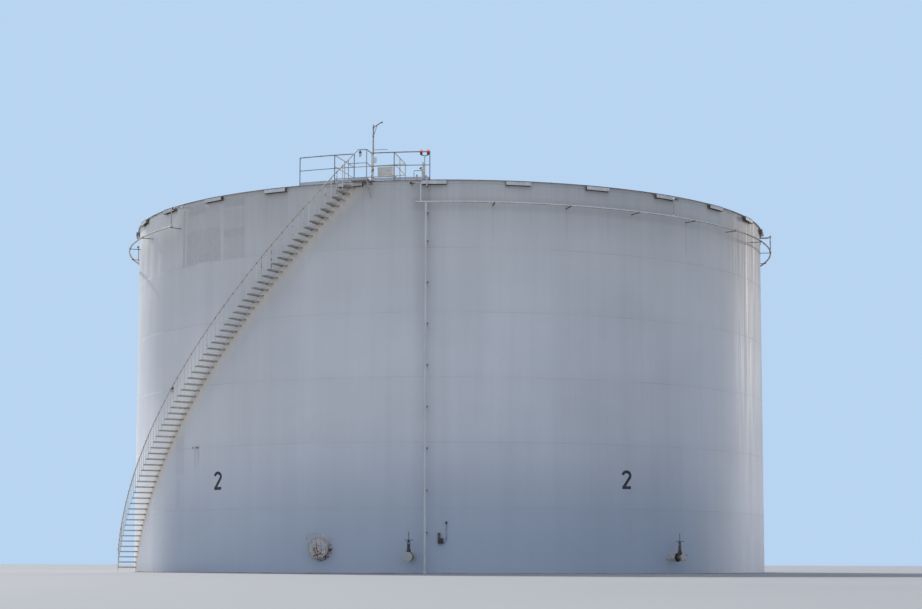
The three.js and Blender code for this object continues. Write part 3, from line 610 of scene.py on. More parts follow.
# The guards' white paint is given as dark grey: painted shade
GUARD_PAINTED_SHADE = worn_paint("guard_painted_shade", (0.29, 0.31, 0.34), 0.18, 0.35)
TOP_RAIL_PAINT = worn_paint("top_rail_paint", (0.33, 0.285, 0.26), 0.5, 0.4)
LANDING_GREY = worn_paint("landing_grey", (0.58, 0.595, 0.625), 0.2, 0.35)
LANDING_RAIL = worn_paint("landing_rail_paint", (0.43, 0.43, 0.455), 0.15, 0.3)
DARK_PIPE = worn_paint("dark_pipe", (0.50, 0.51, 0.53), 0.3, 0.4)
STUB_GREY = worn_paint("stub_grey", (0.50, 0.485, 0.465), 0.2, 0.3)
CREAM_PAINT = worn_paint("cream_paint", (0.70, 0.655, 0.54), 0.2, 0.3)
BOX_PAINT = worn_paint("box_paint", (0.74, 0.715, 0.66), 0.08, 0.3)
WHITE_PAINT = worn_paint("white_paint", (0.84, 0.845, 0.84), 0.1, 0.2)
MAST_PAINT = worn_paint("mast_paint", (0.56, 0.46, 0.39), 0.5, 0.4)
PALE_POST = worn_paint("pale_post", (0.80, 0.775, 0.73), 0.25, 0.25)
RISER_PAINT = worn_paint("riser_paint", (0.74, 0.74, 0.735), 0.06, 0.15)
LIGHT_GREY = worn_paint("light_grey", (0.66, 0.67, 0.69), 0.1, 0.3)
TOE_PAINT = worn_paint("toe_paint", (0.60, 0.615, 0.64), 0.12, 0.4)
# Cream paint made brighter than it is: partly painted light, for sun on the box
CREAM_BOX_PAINTED_LIGHT = worn_paint("cream_box_painted_light", (0.92, 0.87, 0.78), 0.08, 0.2)
FITTING_PAINT = worn_paint("fitting_paint", (0.60, 0.60, 0.59), 0.35, 0.5)
LAMP_BASE = worn_paint("lamp_base", (0.20, 0.025, 0.045), 0.1, 0.3)
# Name, dark and bright colour, how rusty and how metallic
DARK_IRON = iron("dark_iron", (0.028, 0.026, 0.025), (0.07, 0.06, 0.055), 0.35)
DARK_BROWN = iron("dark_brown", (0.06, 0.045, 0.035), (0.14, 0.10, 0.07), 0.5)
SLOT_BROWN = iron("slot_brown", (0.055, 0.04, 0.028), (0.13, 0.095, 0.06), 0.2, 0.0)
CAST_IRON = iron("cast_iron", (0.05, 0.05, 0.052), (0.12, 0.11, 0.105), 0.5)
MESH_BROWN = iron("mesh_brown", (0.16, 0.125, 0.09), (0.30, 0.245, 0.18), 0.3, 0.1)
BLACK_MESH = iron("black_mesh", (0.012, 0.012, 0.013), (0.03, 0.028, 0.026), 0.1)
NUMBER_PAINT = iron("number_paint", (0.03, 0.03, 0.032), (0.055, 0.055, 0.058), 0.0, 0.0)
BOLT_STEEL = iron("bolt_steel", (0.16, 0.14, 0.125), (0.30, 0.27, 0.245), 0.5, 0.5)
# Deep and bright colour, the heights between which they change, how clear and how bright
# The red glass glows a little: painted light, for the sun shining through it
RED_GLASS = lamp_glass("red_glass", (0.16, 0.012, 0.025), (1.0, 0.20, 0.07), 15.825, 15.865, 0.1, 0.5)
JAR_GLASS = lamp_glass("jar_glass", (0.80, 0.67, 0.48), (0.92, 0.88, 0.78), 7, 14, 0.15)


class Shape:
    """Collects closed skins, each with its finish, and makes one piece of them."""

    def __init__(self, main):
        self.main = main
        self.points, self.faces, self.finishes = [], [], []

    def add(self, points, faces, finish=None):
        start = len(self.points)
        self.points.extend(points)
        for face in faces:
            self.faces.append([start + i for i in face])
            self.finishes.append(finish or self.main)

    def rings(self, rings, finish=None, closed=False):
        """A skin through rings of points, capped at both ends unless it closes on itself."""
        count, size = len(rings), len(rings[0])
        faces = []
        for i in range(count if closed else count - 1):
            low, high = i * size, (i + 1) % count * size
            for j in range(size):
                k = (j + 1) % size
                faces.append((low + j, low + k, high + k, high + j))
        if not closed:
            faces.append(tuple(reversed(range(size))))
            faces.append(tuple(range((count - 1) * size, count * size)))
        self.add([point for ring in rings for point in ring], faces, finish)

    def arc(self, profile, start, end, steps, finish=None):
        """A closed outline of (radius, height) points, bent round the axis."""
        rings = []
        for share in spread(0, 1, steps):
            azimuth = start + (end - start) * share
            rings.append([polar(r, azimuth, z) for r, z in profile])
        self.rings(rings, finish)

    def bar(self, inner, outer, low, high, start, end, steps, finish=None):
        """A square-edged bar, bent round the axis."""
        self.arc([(inner, low), (outer, low), (outer, high), (inner, high)], start, end, steps, finish)

    def turn(self, profile, sides, finish=None):
        """A closed outline of (radius, height) points, turned all the way round the tank's axis."""
        rings = [[polar(r, azimuth, z) for r, z in profile] for azimuth in compass(sides)]
        self.rings(rings, finish, closed=True)

    def tube(self, path, radius, sides=10, finish=None):
        """A round bar along a path; radius is one value, or one for each point."""
        path = [Vector(point) for point in path]
        sizes = radius if isinstance(radius, list) else [radius] * len(path)
        side = None
        rings = []
        for i, point in enumerate(path):
            before, after = neighbours(path, i)
            run = (after - before).normalized()
            if side is None:
                side = run.cross(UP) if abs(run.z) < 0.9 else run.cross(Vector((1, 0, 0)))
            side = (side - run * side.dot(run)).normalized()
            rings.append(hoop_points(point, side, run.cross(side), sizes[i], sides))
        self.rings(rings, finish)

    def collar(self, radius, azimuth, height, half, size, sides, finish=None):
        """A short upright sleeve, half above its height and half below."""
        path = [polar(radius, azimuth, height - half), polar(radius, azimuth, height + half)]
        self.tube(path, size, sides, finish)

    def brick(self, centre, axes, sizes, finish=None):
        """A box about its centre, along three axes."""
        halves = [Vector(axis) * size / 2 for axis, size in zip(axes, sizes)]
        outline = [(-1, -1), (1, -1), (1, 1), (-1, 1)]
        rings = []
        for level in (-1, 1):
            rings.append([centre + halves[0] * a + halves[1] * b + halves[2] * level for a, b in outline])
        self.rings(rings, finish)

    def block(self, across, radial, tall, radius, azimuth, height, finish=None):
        self.brick(polar(radius, azimuth, height), axes_at(azimuth), (across, radial, tall), finish)

    def lozenge(self, centre, azimuth, slant, sizes):
        """A raised mark against slipping, aslant by 1 or -1."""
        across, out = along(azimuth), outward(azimuth)
        long = (out + across * 0.6 * slant).normalized()
        wide = (across - out * 0.6 * slant).normalized()
        self.brick(centre, (long, wide, UP), sizes)

    def lathe(self, profile, centre, sides=16, finish=None, axis=UP):
        """(radius, distance) points turned about an axis through a centre; it starts and ends on the axis."""
        axis = Vector(axis).normalized()
        side, other = beside(axis)
        least = 0.0004
        rings = []
        for radius, distance in profile:
            rings.append(hoop_points(centre + axis * distance, side, other, max(radius, least), sides))
        self.rings(rings, finish)

    def drum(self, radius, low, high, centre, sides=16, finish=None, axis=UP):
        """A plain round disc or bar from low to high along an axis."""
        self.lathe([(0, low), (radius, low), (radius, high), (0, high)], centre, sides, finish, axis)

    def prism(self, outline, push, finish=None):
        """A flat outline pushed along a vector."""
        self.rings([outline, [point + push for point in outline]], finish)

    def bolt(self, centre, axis, size, finish=BOLT_STEEL):
        """A hexagon head on a washer, standing on a face."""
        washer, thick = size * 1.25, size * 0.2
        profile = [(0, 0), (washer, 0), (washer, thick), (size, thick), (size, size * 0.9), (0, size)]
        self.lathe(profile, centre, 6, finish, axis)

    def bolts(self, centre, azimuths, reach, lift, size, finish=BOLT_STEEL):
        """Upright bolts round a centre, at a lift above it."""
        for azimuth in azimuths:
            self.bolt(centre + outward(azimuth) * reach + UP * lift, UP, size, finish)

    def hoop(self, centre, axis, radius, thickness, sides=24, finish=None):
        """A round bar closed into a ring about an axis."""
        axis = Vector(axis).normalized()
        side, other = beside(axis)
        rings = []
        for angle in circle(sides):
            way = side * cos(angle) + other * sin(angle)
            rings.append([
                centre + way * (radius + thickness * cos(turn)) + axis * thickness * sin(turn)
                for turn in circle(6)
            ])
        self.rings(rings, finish, closed=True)

    def make(self, name, slot, nodes=(), sharp=32):
        """Makes the piece, which stands for the named CAD nodes."""
        mesh = bpy.data.meshes.new(name)
        mesh.from_pydata([tuple(point) for point in self.points], [], self.faces)
        materials = list(dict.fromkeys([self.main, *self.finishes]))
        for material in materials:
            mesh.materials.append(material)
        mesh.polygons.foreach_set("material_index", [materials.index(finish) for finish in self.finishes])
        work = bmesh.new()
        work.from_mesh(mesh)
        bmesh.ops.recalc_face_normals(work, faces=work.faces)
        work.to_mesh(mesh)
        work.free()
        mesh.polygons.foreach_set("use_smooth", [True] * len(mesh.polygons))
        mesh.set_sharp_from_angle(angle=radians(sharp))
        piece = bpy.data.objects.new(name, mesh)
        bpy.context.scene.collection.objects.link(piece)
        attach(piece, "root")
        if nodes:
            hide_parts(*nodes)

    def dress(self, node, slot, sharp=32):
        """Makes the piece that stands for one CAD node."""
        self.make(f"{node}_dressed", slot, [node], sharp)


def add_bottom():
    shape = Shape(CURB_PAINT)
    lip = RADIUS + 0.055
    shape.turn([(0.01, 0), (lip, 0), (lip, 0.005), (lip - 0.003, FLOOR_PLATE), (0.01, FLOOR_PLATE)], 240)
    weld = RADIUS - 0.004
    bead = [(weld - 0.01, 0.006), (weld + 0.012, 0.006), (weld - 0.002, 0.02), (weld - 0.01, 0.02)]
    shape.turn(bead, 240, RUSTY_EDGE)
    for azimuth in compass(24):
        shape.block(0.01, 0.05, 0.004, RADIUS + 0.028, azimuth + FIRST_CORNER + 4, FLOOR_PLATE, RUSTY_EDGE)
    shape.dress("bottom_plate", "shell_paint")


def shell_levels():
    """Heights for the shell's surface, closest together at the weld lines."""
    offsets = [0, 0.03, 0.08, 0.2, 0.5, 0.9, 1.3, 1.7, 2.05, 2.24, 2.36, 2.41]
    levels = [course * COURSE + offset for course in range(COURSES) for offset in offsets]
    return [FLOOR_PLATE, *levels[1:], SHELL_TOP]


def add_shell():
    width = 360 / SEGMENTS
    levels = shell_levels()
    dented, left_number, right_number = 6, 7, 0
    for i in range(SEGMENTS):
        start = FIRST_CORNER + i * width
        steps = 220 if i == dented else 100
        shape = Shape(SHELL_PAINT)
        rings = []
        for azimuth in spread(start, start + width, steps):
            ring = [polar(shell_radius(azimuth, z), azimuth, z) for z in levels]
            for course in reversed(range(COURSES + 1)):
                ring.append(polar(RADIUS - 0.03, azimuth, max(course * COURSE, FLOOR_PLATE)))
            rings.append(ring)
        shape.rings(rings)
        for course in range(1, COURSES):
            add_level_weld(shape, start, start + width, course * COURSE)
        for course in range(COURSES):
            add_upright_welds(shape, start, start + width, course)
        if i == dented:
            add_lugs(shape)
        if i == left_number:
            add_number(shape, -41)
        if i == right_number:
            add_number(shape, 29.5)
        shape.dress(f"shell_segment_{i + 1}", "shell_paint", 20)


def add_level_weld(shape, start, end, z):
    rings = []
    for azimuth in spread(start, end, 100):
        outside = shell_radius(azimuth, z)
        swell = 0.0006 * noise.noise(Vector((azimuth * 9, z, 0)))
        points = ((-0.012, -0.009), (0.0012, -0.008), (0.0032 + swell, 0), (0.0012, 0.008), (-0.012, 0.009))
        rings.append([polar(outside + out, azimuth, z + rise) for out, rise in points])
    shape.rings(rings)


def add_upright_welds(shape, start, end, course):
    """The plates of each course are 7.2 m long and break joint with the course below."""
    half = 0.022
    points = ((-0.012, -half), (0.0006, -half), (0.002, 0), (0.0006, half), (-0.012, half))
    for i in range(round(360 / PLATE)):
        azimuth = (FIRST_SEAM + SEAM_STEP * course + i * PLATE) % 360
        while azimuth < start:
            azimuth += 360
        if not start + 0.05 < azimuth < end - 0.05:
            continue
        rings = []
        for z in spread(max(course * COURSE, 0.03), (course + 1) * COURSE, 10):
            outside = shell_radius(azimuth, z)
            rings.append([polar(outside + out, azimuth + turn, z) for out, turn in points])
        shape.rings(rings)


def add_lugs(shape):
    height = 4.895
    for azimuth, wide in ((-47.6, 0.045), (-46.4, 0.13)):
        face = shell_radius(azimuth, height)
        shape.block(wide, 0.05, 0.035, face + 0.015, azimuth, height, RUSTY_EDGE)
        shape.block(wide + 0.02, 0.012, 0.055, face + 0.002, azimuth, height, RUSTY_EDGE)


def add_number(shape, azimuth):
    """A plain 2, painted 0.7 m high on the shell."""
    wide, base = 0.115, 3.2
    path = []
    for angle in spread(radians(172), radians(-38), 14):
        path.append((0.17 * cos(angle), 0.515 + 0.145 * sin(angle)))
    path.append((-0.13, 0.075))
    add_ribbon(shape, path, wide, azimuth, base)
    add_ribbon(shape, [(-0.2, wide / 2), (0.0, wide / 2), (0.2, wide / 2)], wide, azimuth, base)


def add_ribbon(shape, path, wide, azimuth, base):
    """A flat stroke of paint along a path of (across, up) points."""
    rings = []
    for i, (u, v) in enumerate(path):
        before, after = neighbours(path, i)
        run = Vector((after[0] - before[0], after[1] - before[1])).normalized()
        left = Vector((-run.y, run.x)) * wide / 2
        ring = []
        for side, out in ((1, -0.006), (-1, -0.006), (-1, 0.0016), (1, 0.0016)):
            x, z = u + side * left.x, base + v + side * left.y
            turn = turned(azimuth, x, RADIUS)
            ring.append(polar(shell_radius(turn, z) + out, turn, z))
        rings.append(ring)
    shape.rings(rings, NUMBER_PAINT)


def add_rim():
    width = HOODS_IN_SECTION * HOOD_PITCH
    inner, under = RADIUS - 0.03, CURB_TOP - 0.01
    outer, edge = ROOF_EDGE - 0.004, ROOF_EDGE - 0.001
    wall_top = RADIUS - 0.001
    curb = [(inner, under - 0.004), (RADIUS - 0.004, under - 0.009), (RADIUS + 0.005, under), (outer, under),
            (outer, CURB_TOP), (inner, CURB_TOP)]
    for i in range(RIM_SECTIONS):
        centre = FIRST_HOOD + i * width
        stretch = (centre - width / 2, centre + width / 2, 60)
        shape = Shape(HOOD_PAINT)
        wall = [(inner, SHELL_TOP - 0.004), (wall_top, SHELL_TOP - 0.004), (wall_top, under), (inner, under)]
        shape.arc(wall, *stretch, SHELL_PAINT)
        shape.arc(curb, *stretch, CURB_PAINT)
        shape.bar(outer - 0.004, edge, under, CURB_TOP + 0.004, *stretch, RUSTY_EDGE)
        for place in (-1, 0, 1):
            add_hood(shape, centre + place * HOOD_PITCH)
        shape.dress(f"rim_vents_{i + 1}", "shell_paint")


def add_hood(shape, azimuth):
    """A plate in front of a slot in the shell, with mesh at both ends and a bent lower lip."""
    wide, top, foot = HOOD_WIDTH, HOOD_TOP, HOOD_FOOT
    front = RADIUS + HOOD_DEPTH - 0.003
    shape.block(wide, 0.005, top - foot, front, azimuth, (top + foot) / 2)
    shape.block(wide, HOOD_DEPTH + 0.02, 0.004, RADIUS + HOOD_DEPTH / 2 - 0.012, azimuth, top - 0.002)
    shape.block(wide, 0.02, 0.004, front - 0.008, azimuth, foot + 0.002, RUSTY_EDGE)
    shape.block(wide - 0.004, 0.006, 0.009, front, azimuth, foot + 0.0045, RUSTY_EDGE)
    # The slot behind the hood, with three uprights; the slot is a dark panel on the shell, painted shade
    # inside the opening
    low = foot + 0.002
    shape.block(wide - 0.05, 0.02, top - low, RADIUS - 0.004, azimuth, (top + low) / 2, SLOT_BROWN)
    # A dark strip above the plate: a painted shadow under the curb
    shape.block(wide - 0.03, 0.004, 0.03, front - 0.012, azimuth, top + 0.012, SLOT_BROWN)
    for share in (-0.33, 0.0, 0.33):
        turn = turned(azimuth, share * wide, RADIUS)
        shape.block(0.03, 0.006, top - low - 0.01, RADIUS + 0.009, turn, (top + low + 0.01) / 2, SLOT_BROWN)
    for side in (-1, 1):
        add_hood_end(shape, azimuth, side, front)
    for share in (-0.42, -0.14, 0.14, 0.42):
        turn = turned(azimuth, share * wide, RADIUS)
        shape.bolt(polar(front + 0.0025, turn, top - 0.018), outward(turn), 0.008)


def add_hood_end(shape, azimuth, side, front):
    """Wire mesh between an edge wire below and a frame in front."""
    across, out = along(azimuth), outward(azimuth)
    shift = across * side * (HOOD_WIDTH / 2 - 0.004)
    foot, top = HOOD_FOOT, HOOD_TOP
    low_back = foot - 0.018
    back = RADIUS - 0.002
    mesh_wire, edge_wire = 0.0035, 0.008

    def place(radius, height):
        return out * radius + shift + UP * height

    def wire(first, last, size, finish):
        run = (last - first).normalized()
        axes = (run, across, run.cross(across))
        shape.brick((first + last) / 2, axes, ((last - first).length, size, size), finish)

    wire(place(back, low_back), place(front, foot), edge_wire, RUSTY_EDGE)
    wire(place(front - 0.004, foot), place(front - 0.004, top), edge_wire, HOOD_PAINT)
    for share in spread(0, 1, 12)[1:-1]:
        radius = back + (front - back) * share
        low = low_back + (foot - low_back) * share
        wire(place(radius, low), place(radius, top), mesh_wire, MESH_BROWN)
    for height in spread(low_back, top, 17)[1:-1]:
        reach = 1.0 if height > foot else (height - low_back) / (foot - low_back)
        wire(place(back, height), place(back + (front - back) * reach, height), mesh_wire, MESH_BROWN)


def add_roof():
    edge = ROOF_EDGE - 0.002
    reaches = [ROOF_HOLE, 2.6, 4.8, 7.0, 9.2, 11.4, 13.4, edge]
    width = 360 / ROOF_SECTORS
    outline = []
    for j, (inner, outer) in enumerate(zip(reaches, reaches[1:])):
        lift = 0.001 if outer == edge else 0.0045
        outline += [(outer, roof_height(outer) + lift), (inner + 0.001, roof_height(inner) + lift)]
    outline.sort(key=lambda point: (-point[0], -point[1]))
    under = [(r, roof_height(r) - ROOF_THICKNESS + 0.0005) for r in (ROOF_HOLE, edge)]
    for i in range(ROOF_SECTORS):
        start = FIRST_CORNER + width * i
        shape = Shape(ROOF_PAINT)
        shape.arc([*under, *outline], start, start + width, 60)
        # Welds down the slope, closer together further out and staggered from lap to lap
        for j, (inner, outer) in enumerate(zip(reaches, reaches[1:])):
            gap = 5 if outer > 6 else 10 if outer > 3 else 20
            shift = (j % 2) * gap / 4
            for azimuth in spread(start + gap / 2, start + width - gap / 2, int(width / gap) - 1):
                turn = azimuth + shift
                if turn < start + width:
                    run = spread(inner + 0.01, outer - 0.01, 2)
                    shape.tube([polar(r, turn, roof_height(r) + 0.003) for r in run], 0.006, 6, CURB_PAINT)
        shape.dress(f"roof_sector_{i + 1}", "roof_paint", 20)


def add_centre_vent():
    shape = Shape(HOOD_PAINT)
    centre = UP * roof_height(ROOF_HOLE)
    neck = [(0, 0), (0.44, 0), (0.445, 0.004), (0.445, 0.012), (0.25, 0.012), (0.245, 0.02), (0.245, 0.19),
            (0, 0.19)]
    cap = [(0, 0.31), (0.26, 0.31), (0.4, 0.302), (0.425, 0.292), (0.43, 0.3), (0.428, 0.41), (0.41, 0.425),
           (0.2, 0.478), (0.05, 0.515), (0, 0.518)]
    shape.lathe(neck, centre, 48)
    shape.drum(0.235, 0.185, 0.31, centre, 48, BLACK_MESH)
    shape.lathe(cap, centre, 48)
    for azimuth in compass(16):
        way = outward(azimuth)
        shape.bolt(centre + way * 0.36 + UP * 0.012, UP, 0.014)
        shape.brick(centre + way * 0.243 + UP * 0.25, (along(azimuth), way, UP), (0.02, 0.012, 0.12))
    shape.dress("centre_vent", "roof_paint")


def tread_front(number):
    return LANDING_START - (TREADS + 1 - number) * TREAD_ANGLE


def handrail_height(azimuth):
    return LANDING_TOP + HANDRAIL_HEIGHT + (azimuth - LANDING_START) * RISE / TREAD_ANGLE


def add_post(shape, number, low, high, finish):
    """An angle bar in front of the tread's outer corner."""
    turn = turned(tread_front(number), TREAD_WIDTH / 2, STAIR_RADIUS)
    across, out = along(turn), outward(turn)
    front = -TREAD_WIDTH / 2 - 0.0295
    back = front + 0.0305
    outer, inner = POST_RADIUS + 0.0095, POST_RADIUS - 0.0095
    web, leg = front + 0.006, outer - 0.005
    outline = [(front, inner), (front, outer), (back, outer), (back, leg), (web, leg), (web, inner)]
    shape.prism([across * x + out * r + UP * low for x, r in outline], UP * (high - low), finish)


def add_tread(shape, number):
    turn = turned(tread_front(number), TREAD_WIDTH / 2, STAIR_RADIUS)
    across, out = along(turn), outward(turn)
    top = number * RISE - 0.0012
    half, sheet, lip = TREAD_WIDTH / 2, 0.006, -0.0485
    outline = [
        (-half, -0.004), (-half, lip), (-half + sheet, lip), (-half + sheet, -0.008), (half - sheet, -0.008),
        (half - sheet, lip), (half, lip), (half, -0.004), (half - 0.003, -0.001), (-half + 0.003, -0.001),
    ]
    inner, outer = RADIUS - 0.02, STAIR_RADIUS - 0.001
    start = out * inner + UP * top
    shape.prism([start + across * x + UP * z for x, z in outline], out * (outer - inner))
    for row, shift in enumerate((-0.09, -0.045, 0.0, 0.045, 0.09)):
        for step in range(11):
            reach = RADIUS + 0.06 + 0.062 * step + 0.031 * (row % 2)
            middle = out * reach + across * shift + UP * (top - 0.0012)
            shape.lozenge(middle, turn, 1 if (row + step) % 2 else -1, (0.026, 0.008, 0.0034))
    # Beads at the shell
    for x in (-half + 0.003, half - 0.003):
        low, high = out * (RADIUS - 0.003) + UP * (top - 0.05), out * (RADIUS - 0.003) + UP * top
        shape.tube([low + across * x, high + across * x], 0.006, 5, RUSTY_EDGE)
    shape.bolt(out * POST_RADIUS - across * (half + 0.0295) + UP * (top - 0.024), -across, 0.009)


def add_stair():
    first = 1
    for flight, count in enumerate(FLIGHTS):
        shape = Shape(STAIR_PAINT)
        for number in range(first, first + count):
            add_tread(shape, number)
            low = 0.001 if number == 1 else (number - 1) * RISE
            add_post(shape, number, low, number * RISE, POST_PAINT if number % 2 else RUSTY_POST)
        first += count
        shape.dress(f"stair_flight_{flight + 1}", "stair_paint")


def rail_path(start, end, steps):
    return [polar(POST_RADIUS, azimuth, handrail_height(azimuth)) for azimuth in spread(start, end, steps)]


def add_handrails():
    first = 1
    for section, count in enumerate(HANDRAIL_SECTIONS):
        shape = Shape(RAIL_PAINT)
        start = tread_front(first) - 0.2
        end = start + count * TREAD_ANGLE
        shape.tube(rail_path(start, end, round((end - start) / 0.45)), HANDRAIL_RADIUS, 12)
        for number in range(first, first + count):
            add_handrail_joint(shape, number)
        first += count
        shape.dress(f"stair_handrail_{section + 1}", "rail_paint")


def add_handrail_joint(shape, number):
    """A post with its clamp, a rusty knot on about half of them, and a sleeve now and then."""
    azimuth = tread_front(number) - degrees(0.015 / STAIR_RADIUS)
    height = handrail_height(azimuth)
    add_post(shape, number, number * RISE, height, POST_PAINT if number % 2 else RUSTY_POST)
    shape.tube(rail_path(azimuth - 0.09, azimuth + 0.09, 2), HANDRAIL_RADIUS + 0.003, 12)
    shape.block(0.026, 0.03, 0.03, POST_RADIUS, azimuth, height - 0.026, RUSTY_EDGE)
    shape.bolt(polar(POST_RADIUS + 0.0095, azimuth, height - 0.05), outward(azimuth), 0.008, RUSTY_EDGE)
    if random.random() < 0.5:
        knot = rail_path(azimuth - 0.035, azimuth + 0.035, 2)
        shape.tube(knot, HANDRAIL_RADIUS + 0.005, 12, RUSTY_EDGE)
    if number % 7 == 3:
        shape.tube(rail_path(azimuth + 0.36, azimuth + 0.62, 3), HANDRAIL_RADIUS + 0.005, 12)


def add_landing():
    shape = Shape(STAIR_PAINT)
    under, top = LANDING_TOP - 0.006, LANDING_TOP - 0.001
    edge = STAIR_RADIUS - 0.001
    whole = (LANDING_START, LANDING_END, 8)
    shape.bar(ROOF_EDGE + 0.006, edge, under, top, *whole)
    shape.bar(edge - 0.006, edge, under - 0.08, top, *whole, LANDING_GREY)
    cheek = RADIUS + HOOD_DEPTH + 0.02
    for start, end in ((LANDING_START, LANDING_START + 0.04), (LANDING_END - 0.04, LANDING_END)):
        shape.bar(cheek, edge, under - 0.05, under, start, end, 1, LANDING_GREY)
    for row in range(9):
        for step in range(9):
            azimuth = LANDING_START + 0.16 + (row + 0.5 * (step % 2)) * 0.3
            if azimuth <= LANDING_END - 0.12:
                middle = polar(ROOF_EDGE + 0.05 + 0.068 * step, azimuth, LANDING_TOP - 0.0015)
                shape.lozenge(middle, azimuth, 1 if (row + step) % 2 else -1, (0.03, 0.009, 0.0024))
    first_beam, last_beam = -13.5, -12.55
    for azimuth in (first_beam, last_beam):
        add_landing_beam(shape, azimuth)
    brace_foot = 14.14
    head = polar(STAIR_RADIUS - 0.06, last_beam, under - 0.06)
    shape.tube([head, polar(RADIUS - 0.01, last_beam, brace_foot)], 0.0175, 12, FITTING_PAINT)
    shape.block(0.06, 0.012, 0.08, RADIUS - 0.001, last_beam, brace_foot + 0.01, FITTING_PAINT)
    shape.block(0.012, 0.07, 0.06, STAIR_RADIUS - 0.06, last_beam, under - 0.05, FITTING_PAINT)
    for azimuth in spread(LANDING_START + 0.3, LANDING_END - 0.3, 4):
        shape.bolt(polar(edge, azimuth, under - 0.045), outward(azimuth), 0.009)
    shape.dress("stair_landing", "stair_paint")


def add_landing_beam(shape, azimuth):
    """An angle bar below the landing, on a pad with two bolts."""
    level = CURB_TOP - 0.0103 - 0.025
    inner, outer = RADIUS - 0.02, STAIR_RADIUS - 0.008
    middle, reach = (inner + outer) / 2, outer - inner
    shape.block(0.05, reach, 0.006, middle, azimuth, level + 0.0215)
    shape.block(0.006, reach, 0.043, middle, azimuth - 0.09, level - 0.002)
    shape.block(0.12, 0.012, 0.12, RADIUS + 0.002, azimuth, level - 0.03, FITTING_PAINT)
    for side in (-0.045, 0.045):
        turn = turned(azimuth, side, RADIUS)
        shape.bolt(polar(RADIUS + 0.008, turn, level - 0.07), outward(turn), 0.011)


def round_corner(points, reach, steps=5):
    """A path with its inner corners rounded, starting reach before each of them."""
    path = [Vector(points[0])]
    for before, corner, after in zip(points, points[1:], points[2:]):
        first = corner + (before - corner).normalized() * reach
        last = corner + (after - corner).normalized() * reach
        for share in spread(0, 1, steps):
            path.append(first * (1 - share) ** 2 + corner * 2 * share * (1 - share) + last * share ** 2)
    path.append(Vector(points[-1]))
    return path


def add_landing_rail():
    shape = Shape(LANDING_RAIL)
    corner = LANDING_END - 0.1
    before = corner - 0.3
    climb_end = LANDING_START + (GUARD_HEIGHT - HANDRAIL_HEIGHT) * TREAD_ANGLE / RISE
    climb = rail_path(LANDING_START - 0.2, climb_end, 4)
    shape.tube(climb, HANDRAIL_RADIUS, 12, RAIL_PAINT)

    def turn_in(height, reach):
        """The end of a rail, which turns in to the rim."""
        ends = ((POST_RADIUS, before), (POST_RADIUS, corner), (RIM_POST_RADIUS + 0.03, corner))
        return round_corner([polar(radius, azimuth, height) for radius, azimuth in ends], reach)[1:]

    top = level_run(POST_RADIUS, GUARD_TOP, climb_end + 0.15, before, 4)
    shape.tube([climb[-1], *top, *turn_in(GUARD_TOP, 0.06)], HANDRAIL_RADIUS, 12)
    middle = level_run(POST_RADIUS, GUARD_MIDDLE, LANDING_START - 0.05, before, 6)
    shape.tube([*middle, *turn_in(GUARD_MIDDLE, 0.05)], 0.0155, 10)
    add_post(shape, TREADS + 1, TREADS * RISE, handrail_height(LANDING_START), LANDING_RAIL)
    post = [polar(POST_RADIUS, corner, LANDING_TOP), polar(POST_RADIUS, corner, GUARD_TOP - 0.015)]
    shape.tube(post, 0.0175, 12)
    shape.block(0.08, 0.08, 0.006, POST_RADIUS - 0.024, corner - 0.12, LANDING_TOP + 0.003)
    shape.collar(POST_RADIUS, corner, GUARD_MIDDLE, 0.03, 0.02, 12)
    for level in (GUARD_TOP, GUARD_MIDDLE):
        shape.block(0.03, 0.02, 0.045, RIM_POST_RADIUS + 0.03, corner, level, DARK_IRON)
    shape.dress("landing_rail", "rail_paint")


def add_guard_post(shape, place, low, high, finish=None):
    """A round post on a small plate with four bolts."""
    shape.tube([place + UP * low, place + UP * (high - 0.018)], 0.0188, 14, finish)
    plate = [(0, 0), (0.036, 0), (0.036, 0.007), (0.022, 0.012), (0, 0.012)]
    shape.lathe(plate, place + UP * low, 16, finish)
    shape.bolts(place, (45, 135, 225, 315), 0.03, low + 0.006, 0.006)


def add_rim_guards():
    base, inner, outer = roof_height(RIM_POST_RADIUS), RIM_POST_RADIUS - 0.003, RIM_POST_RADIUS + 0.003
    toe = base + 0.015
    for name, places in (("rim_guardrail_left", GUARD_LEFT), ("rim_guardrail_right", GUARD_RIGHT)):
        shape = Shape(GUARD_PAINTED_SHADE)
        first, last = places[0], places[-1]
        steps = round((last - first) / 0.5)
        for level, size, sides, finish in (
            (GUARD_TOP, TOP_RAIL, 12, TOP_RAIL_PAINT),
            (GUARD_MIDDLE, MIDDLE_RAIL, 10, GUARD_PAINTED_SHADE),
        ):
            shape.tube(level_run(RIM_POST_RADIUS, level, first, last, steps), size, sides, finish)
        shape.bar(inner, outer, toe, toe + 0.1, first, last, steps, TOE_PAINT)
        # The post beside the mast is pale; the others are painted dark as painted shade
        for azimuth in places:
            finish = PALE_POST if azimuth == GUARD_RIGHT[0] else GUARD_PAINTED_SHADE
            add_guard_post(shape, polar(RIM_POST_RADIUS, azimuth, 0), base, GUARD_TOP, finish)
            for level, size in ((GUARD_TOP - 0.02, 0.024), (GUARD_MIDDLE, 0.0225)):
                shape.collar(RIM_POST_RADIUS, azimuth, level, 0.02, size, 14, finish)
        shape.dress(name, "rail_paint")


def deck_outline(height):
    left, right = PLATFORM_SIDES
    outer, margin = 13.63, 0.045
    past = degrees(margin / outer)
    return [
        polar(left[1] - margin, left[2] - past, height),
        polar(right[1] - margin, right[2] + past, height),
        polar(outer, right[0] + past, height),
        polar(outer, (left[0] + right[0]) / 2, height),
        polar(outer, left[0] - past, height),
    ]


